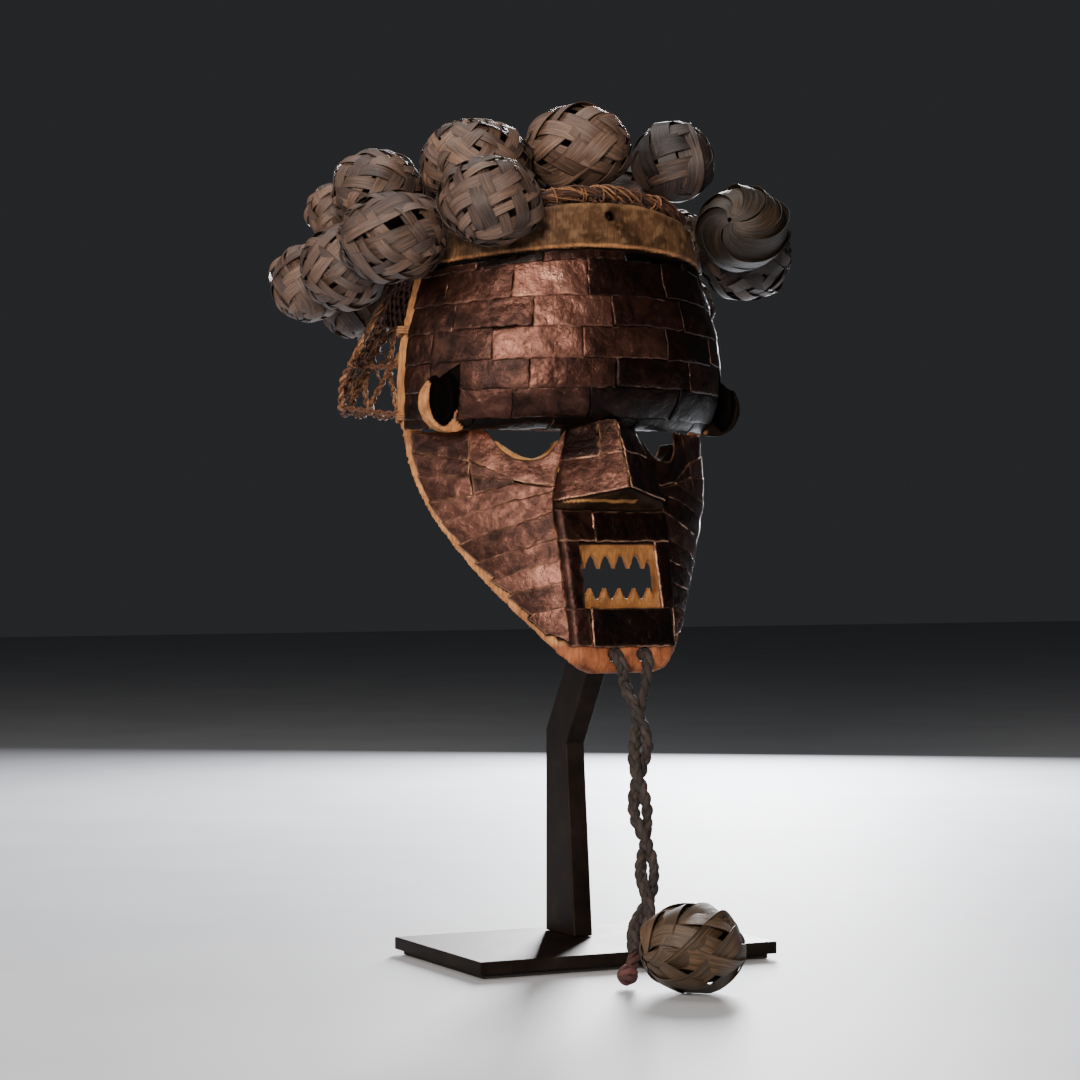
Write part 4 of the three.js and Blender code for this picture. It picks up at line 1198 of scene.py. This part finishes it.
def ring_wisps(path, rng):
    """Loose fibres along the ring. Every third one is a tight lashing round it."""
    strands = []
    for k in range(RING_WISPS):
        start = int(rng.integers(0, 66))
        lashed = k % 3 == 0
        piece = path[start:start + (4 if lashed else int(rng.integers(10, 24)))]
        pitch = 5 if lashed else 30 + 60 * rng.random()
        wisp = plies(spline(piece, 40), 1, 4 + 1.2 * rng.random(), pitch, 6 * rng.random(),
                     0.35 + 0.5 * rng.random())[0]
        wisp.points[:] = wisp.points + 0.8 * field(wisp.points, 7, k)[:, None]
        strands.append(wisp)
    return strands


def make_ring():
    angles = np.radians(np.linspace(-RING_END, RING_END, 90))
    path = forehead(angles, 0 * angles + BAND_TOP)
    inward = unit(np.stack([path[:, 0], path[:, 1] - RING_HUB, 0 * angles], -1))
    path = path - RING_INSIDE * inward + np.array([0, 0, RING_ABOVE])
    rng = np.random.default_rng(21)
    made = swept("headdress_ring_twisted", ring_cords(path, rng), *RING_CORD, 7, BAST)
    join_into(made, swept("ring_wisps", ring_wisps(path, rng), *RING_WISP, 5, BAST))
    return settle(made, "headdress_ring")


NET_CORD = (2.1, 1.9)
CORD_APART, CORD_TURN = 1.2, 13  # two cords twisted round each other
NET_TIES = ((334, 2), (388, 1))  # height of each lashing on the rim, and the row that it holds
LOOSE_CORDS, LOOSE_AT_TEMPLES = 150, 110


def rope(path, phase=0.0, tone=0.5, pitch=CORD_TURN):
    return plies(path, 2, CORD_APART, pitch, phase, tone)


def net_loops(rng):
    """The sides of all the loops: two rows that hang from the crown."""
    sides = []
    for i in range(NET_COLUMNS):
        sides += [(i, 0, i + 0.5, 1), (i + 1, 0, i + 0.5, 1)]
        if i > 0:
            sides += [(i - 0.5, 1, i, 2), (i + 0.5, 1, i, 2)]
    strands = []
    for column, row, next_column, next_row in sides:
        s = np.linspace(0, 1, 22)
        centre = net_point(mix(column, next_column, s), mix(row, next_row, s))
        sag = np.sin(math.pi * s)[:, None] * rng.normal(size=3) * 1.2
        pair = rope(centre + sag, 6 * rng.random(), 0.5 + 0.3 * rng.random())
        for cord in pair:
            cord.girth[:] = 1 + 0.35 * field(cord.points, 5, int(rng.integers(99)))
            cord.tone[:] = cord.tone + 0.45 * field(cord.points, 4, int(rng.integers(99)))
        strands += pair
    return strands


def net_ties():
    """Lashings round the rim of the mask, and the cords that join the net to them."""
    strands = []
    turns = np.linspace(0, 3 * 2 * math.pi, 60)
    for side, first in ((-1, 1), (1, NET_COLUMNS - 1)):
        for z, row in NET_TIES:
            half, rim = section(FOREHEAD, z)[:2]
            tie = np.stack([
                side * (half - 4 + 6 * np.cos(turns)), rim - 4 + 6 * np.sin(turns),
                z + 0.75 * turns / math.pi - 2], -1)
            corner = net_point(first if row == 2 else first - 0.5 * side, row)
            low = (corner + tie[0]) / 2 - np.array([side * 3, 0, 7])
            strands.append(strand(tie, None, 1.0, 0.75))
            strands += rope(spline([corner, low, tie[0]], 40), pitch=12)
    return strands


def net_hem():
    strands = []
    sag = np.array([0, 0, 4]) * np.sin(np.linspace(0, math.pi, 20))[:, None]
    for column in range(1, NET_COLUMNS - 1):
        strands += rope(net_point(np.linspace(column, column + 1, 20), 2) - sag, column)
    return strands


def net_tangle(rng):
    """Loose cords that curl about the loops, more of them near the temples than behind."""
    strands = []
    run = np.linspace(0, 1, 16)
    for k in range(LOOSE_CORDS):
        spot = 3 * rng.random() if k < LOOSE_AT_TEMPLES else 1 + (NET_COLUMNS - 2) * rng.random()
        spot = NET_COLUMNS - spot if k % 2 else spot
        column = spot + 0.5 * rng.normal() * run
        row = 1.1 * rng.random() ** 1.5 + 0.5 * rng.normal() * run
        curl = net_point(column, np.clip(row, -0.1, 1.6))
        curl = curl + 2.6 * wander(curl, 7, range(3 * k, 3 * k + 3))
        strands.append(strand(curl, None, 0.8, 0.15 + 0.6 * rng.random()))
    return strands


def net_knots():
    strands = []
    turns = np.linspace(0, 2 * 2 * math.pi, 24)
    for column in range(NET_COLUMNS):
        tied = np.stack([np.cos(turns), np.sin(turns), np.sin(turns * 0.5 + column)], -1)
        for knot in (net_point(column + 0.5, 1), net_point(max(column, 1), 2)):
            strands.append(strand(knot + 1.9 * tied, None, 1.1, 0.6))
    return strands


def make_net():
    rng = np.random.default_rng(31)
    strands = [*net_loops(rng), *net_ties(), *net_hem(), *net_tangle(rng), *net_knots()]
    made = swept("headdress_net_knotted", strands, *NET_CORD, 6, BAST)
    join_into(made, make_crown())
    return settle(made, "headdress_net")


CROWN_SIDES, CROWN_RINGS = 120, 34
CROWN_OUTSIDE, CROWN_INSIDE = 1.2, 3.0  # how deep both faces of the cap lie
CROWN_CORDS = 76  # each way, over either face
CROWN_CORD = (2.6, 2.4)


def crown_faces():
    """Faces of the cap's outside and inside, and of the edge between them."""
    sides = CROWN_SIDES
    layer = sides * CROWN_RINGS + 1
    faces = []
    for i in range(sides):
        following = (i + 1) % sides
        faces.append((layer - 1, i, following))
        faces.append((2 * layer - 1, layer + following, layer + i))
        for a in range(i, layer - 1 - sides, sides):
            b = a - i + following
            c, d = a + sides, b + sides
            faces.append((a, c, d, b))
            faces.append((layer + a, layer + b, layer + d, layer + c))
        a, b = layer - 1 - sides + i, layer - 1 - sides + following
        faces.append((a, a + layer, b + layer, b))
    return faces


def crown_cords():
    strands = []
    s = np.linspace(0.2, 1, 24)
    for hand in (1, -1):
        for i in range(CROWN_CORDS):
            turned = 2 * math.pi * i / CROWN_CORDS + hand * 1.1 * s
            for inset in (0.4, 3.8):
                path = cap_point(turned, crown_edge(turned) * s, inset)
                path = path + 0.8 * wander(path, 6, (i, i + 9, 0)) * (1, 1, 0)
                strands.append(strand(path, None, 1 + 0.3 * field(path, 7, i), 0.4))
    return strands


def make_crown():
    """The close-knotted crown of the net: a thin cap with cords over both its faces."""
    around = np.linspace(0, 2 * math.pi, CROWN_SIDES, endpoint=False)
    grid = []
    for inset in (CROWN_OUTSIDE, CROWN_INSIDE):
        for j in range(1, CROWN_RINGS + 1):
            grid.append(cap_point(around, crown_edge(around) * j / CROWN_RINGS, inset))
        grid.append(cap_point(np.zeros(1), np.zeros(1), inset))
    points = np.concatenate(grid)
    out = unit(points - np.array([0, CAP_Y, CAP_Z]))
    points = points + 0.35 * field(points, 2.4, 4)[:, None] * out
    # The cap is coloured far darker than its cords: painted shade in the gaps between them
    cap = mesh_object("net_crown", points, crown_faces(), {
        "tone": -0.35 + 0.1 * field(points, 9, 6), "along": points[:, 0] * MM,
        "across": points[:, 2] / 3})
    cap.data.materials.append(BAST)
    return join_into(cap, swept("net_cords", crown_cords(), *CROWN_CORD, 5, BAST))


# The stand


def bevelled(node_name, name, bevel, finish):
    source = copy_of_solid(node_name, math.radians(2))
    rounding = source.modifiers.new("rounded_edges", "BEVEL")
    rounding.width = bevel * MM
    rounding.segments = 3
    rounding.limit_method = "ANGLE"
    return finished(name, evaluated_mesh(source), finish, node_name)


def make_stand():
    bevelled("stand_base", "stand_base_plate", 0.7, STEEL)
    bevelled("stand_post", "stand_post_bent", 0.9, STEEL)
    bevelled("stand_pad", "stand_pad_sheet", 0.5, RUBBER)


# Floor and light

FLOOR_HALF, FLOOR_LEVEL = 6000, -0.2  # just under the stand, so that the two don't share a plane
WORLD_COLOUR, WORLD_STRENGTH = "#7b7e83", 0.12
LIT_POINT = (0, 0, 0.36)
# Place, size, watts and colour
LIGHTS = {
    "key": ((-1.0, -1.37, 0.74), (0.28, 0.5), 40, "#fff2e6"),
    "side": ((-1.6, 0.1, 0.8), (0.4, 0.8), 9, "#fff4ea"),
    "rim": ((0.88, 1.32, 0.7), (0.3, 1.0), 98, "#f6f7fb"),
    "top": ((-0.2, 0.2, 1.7), (1.0, 1.0), 16, "#f8f7f6"),
}


def area_light(name, place, size, power, colour):
    data = bpy.data.lights.new(name, "AREA")
    data.shape = "RECTANGLE"
    data.size, data.size_y = size
    data.energy = power
    data.color = linear(colour)[:3]
    lamp = new_object(name, data)
    lamp.location = place
    towards = Vector(LIT_POINT) - Vector(place)
    lamp.rotation_euler = towards.to_track_quat("-Z", "Y").to_euler()


def make_studio():
    corners = [(x * FLOOR_HALF, y * FLOOR_HALF, FLOOR_LEVEL)
               for x, y in ((-1, -1), (1, -1), (1, 1), (-1, 1))]
    floor = mesh_object("studio_floor", corners, [(0, 1, 2, 3)])
    floor.data.materials.append(PAPER)
    world = bpy.data.worlds.new("studio")
    world.use_nodes = True
    background = world.node_tree.nodes["Background"]
    background.inputs["Color"].default_value = linear(WORLD_COLOUR)
    background.inputs["Strength"].default_value = WORLD_STRENGTH
    bpy.context.scene.world = world
    for name, (place, size, power, colour) in LIGHTS.items():
        area_light(name, place, size, power, colour)


make_beard()
make_balls()
copper = [
    make_forehead_copper(),
    make_cheek_copper(-1, "copper_cheek_left"),
    make_cheek_copper(1, "copper_cheek_right"),
    make_nose_copper(),
    make_muzzle_copper(),
]
make_shell(copper)
make_ring()
make_net()
make_stand()
make_studio()
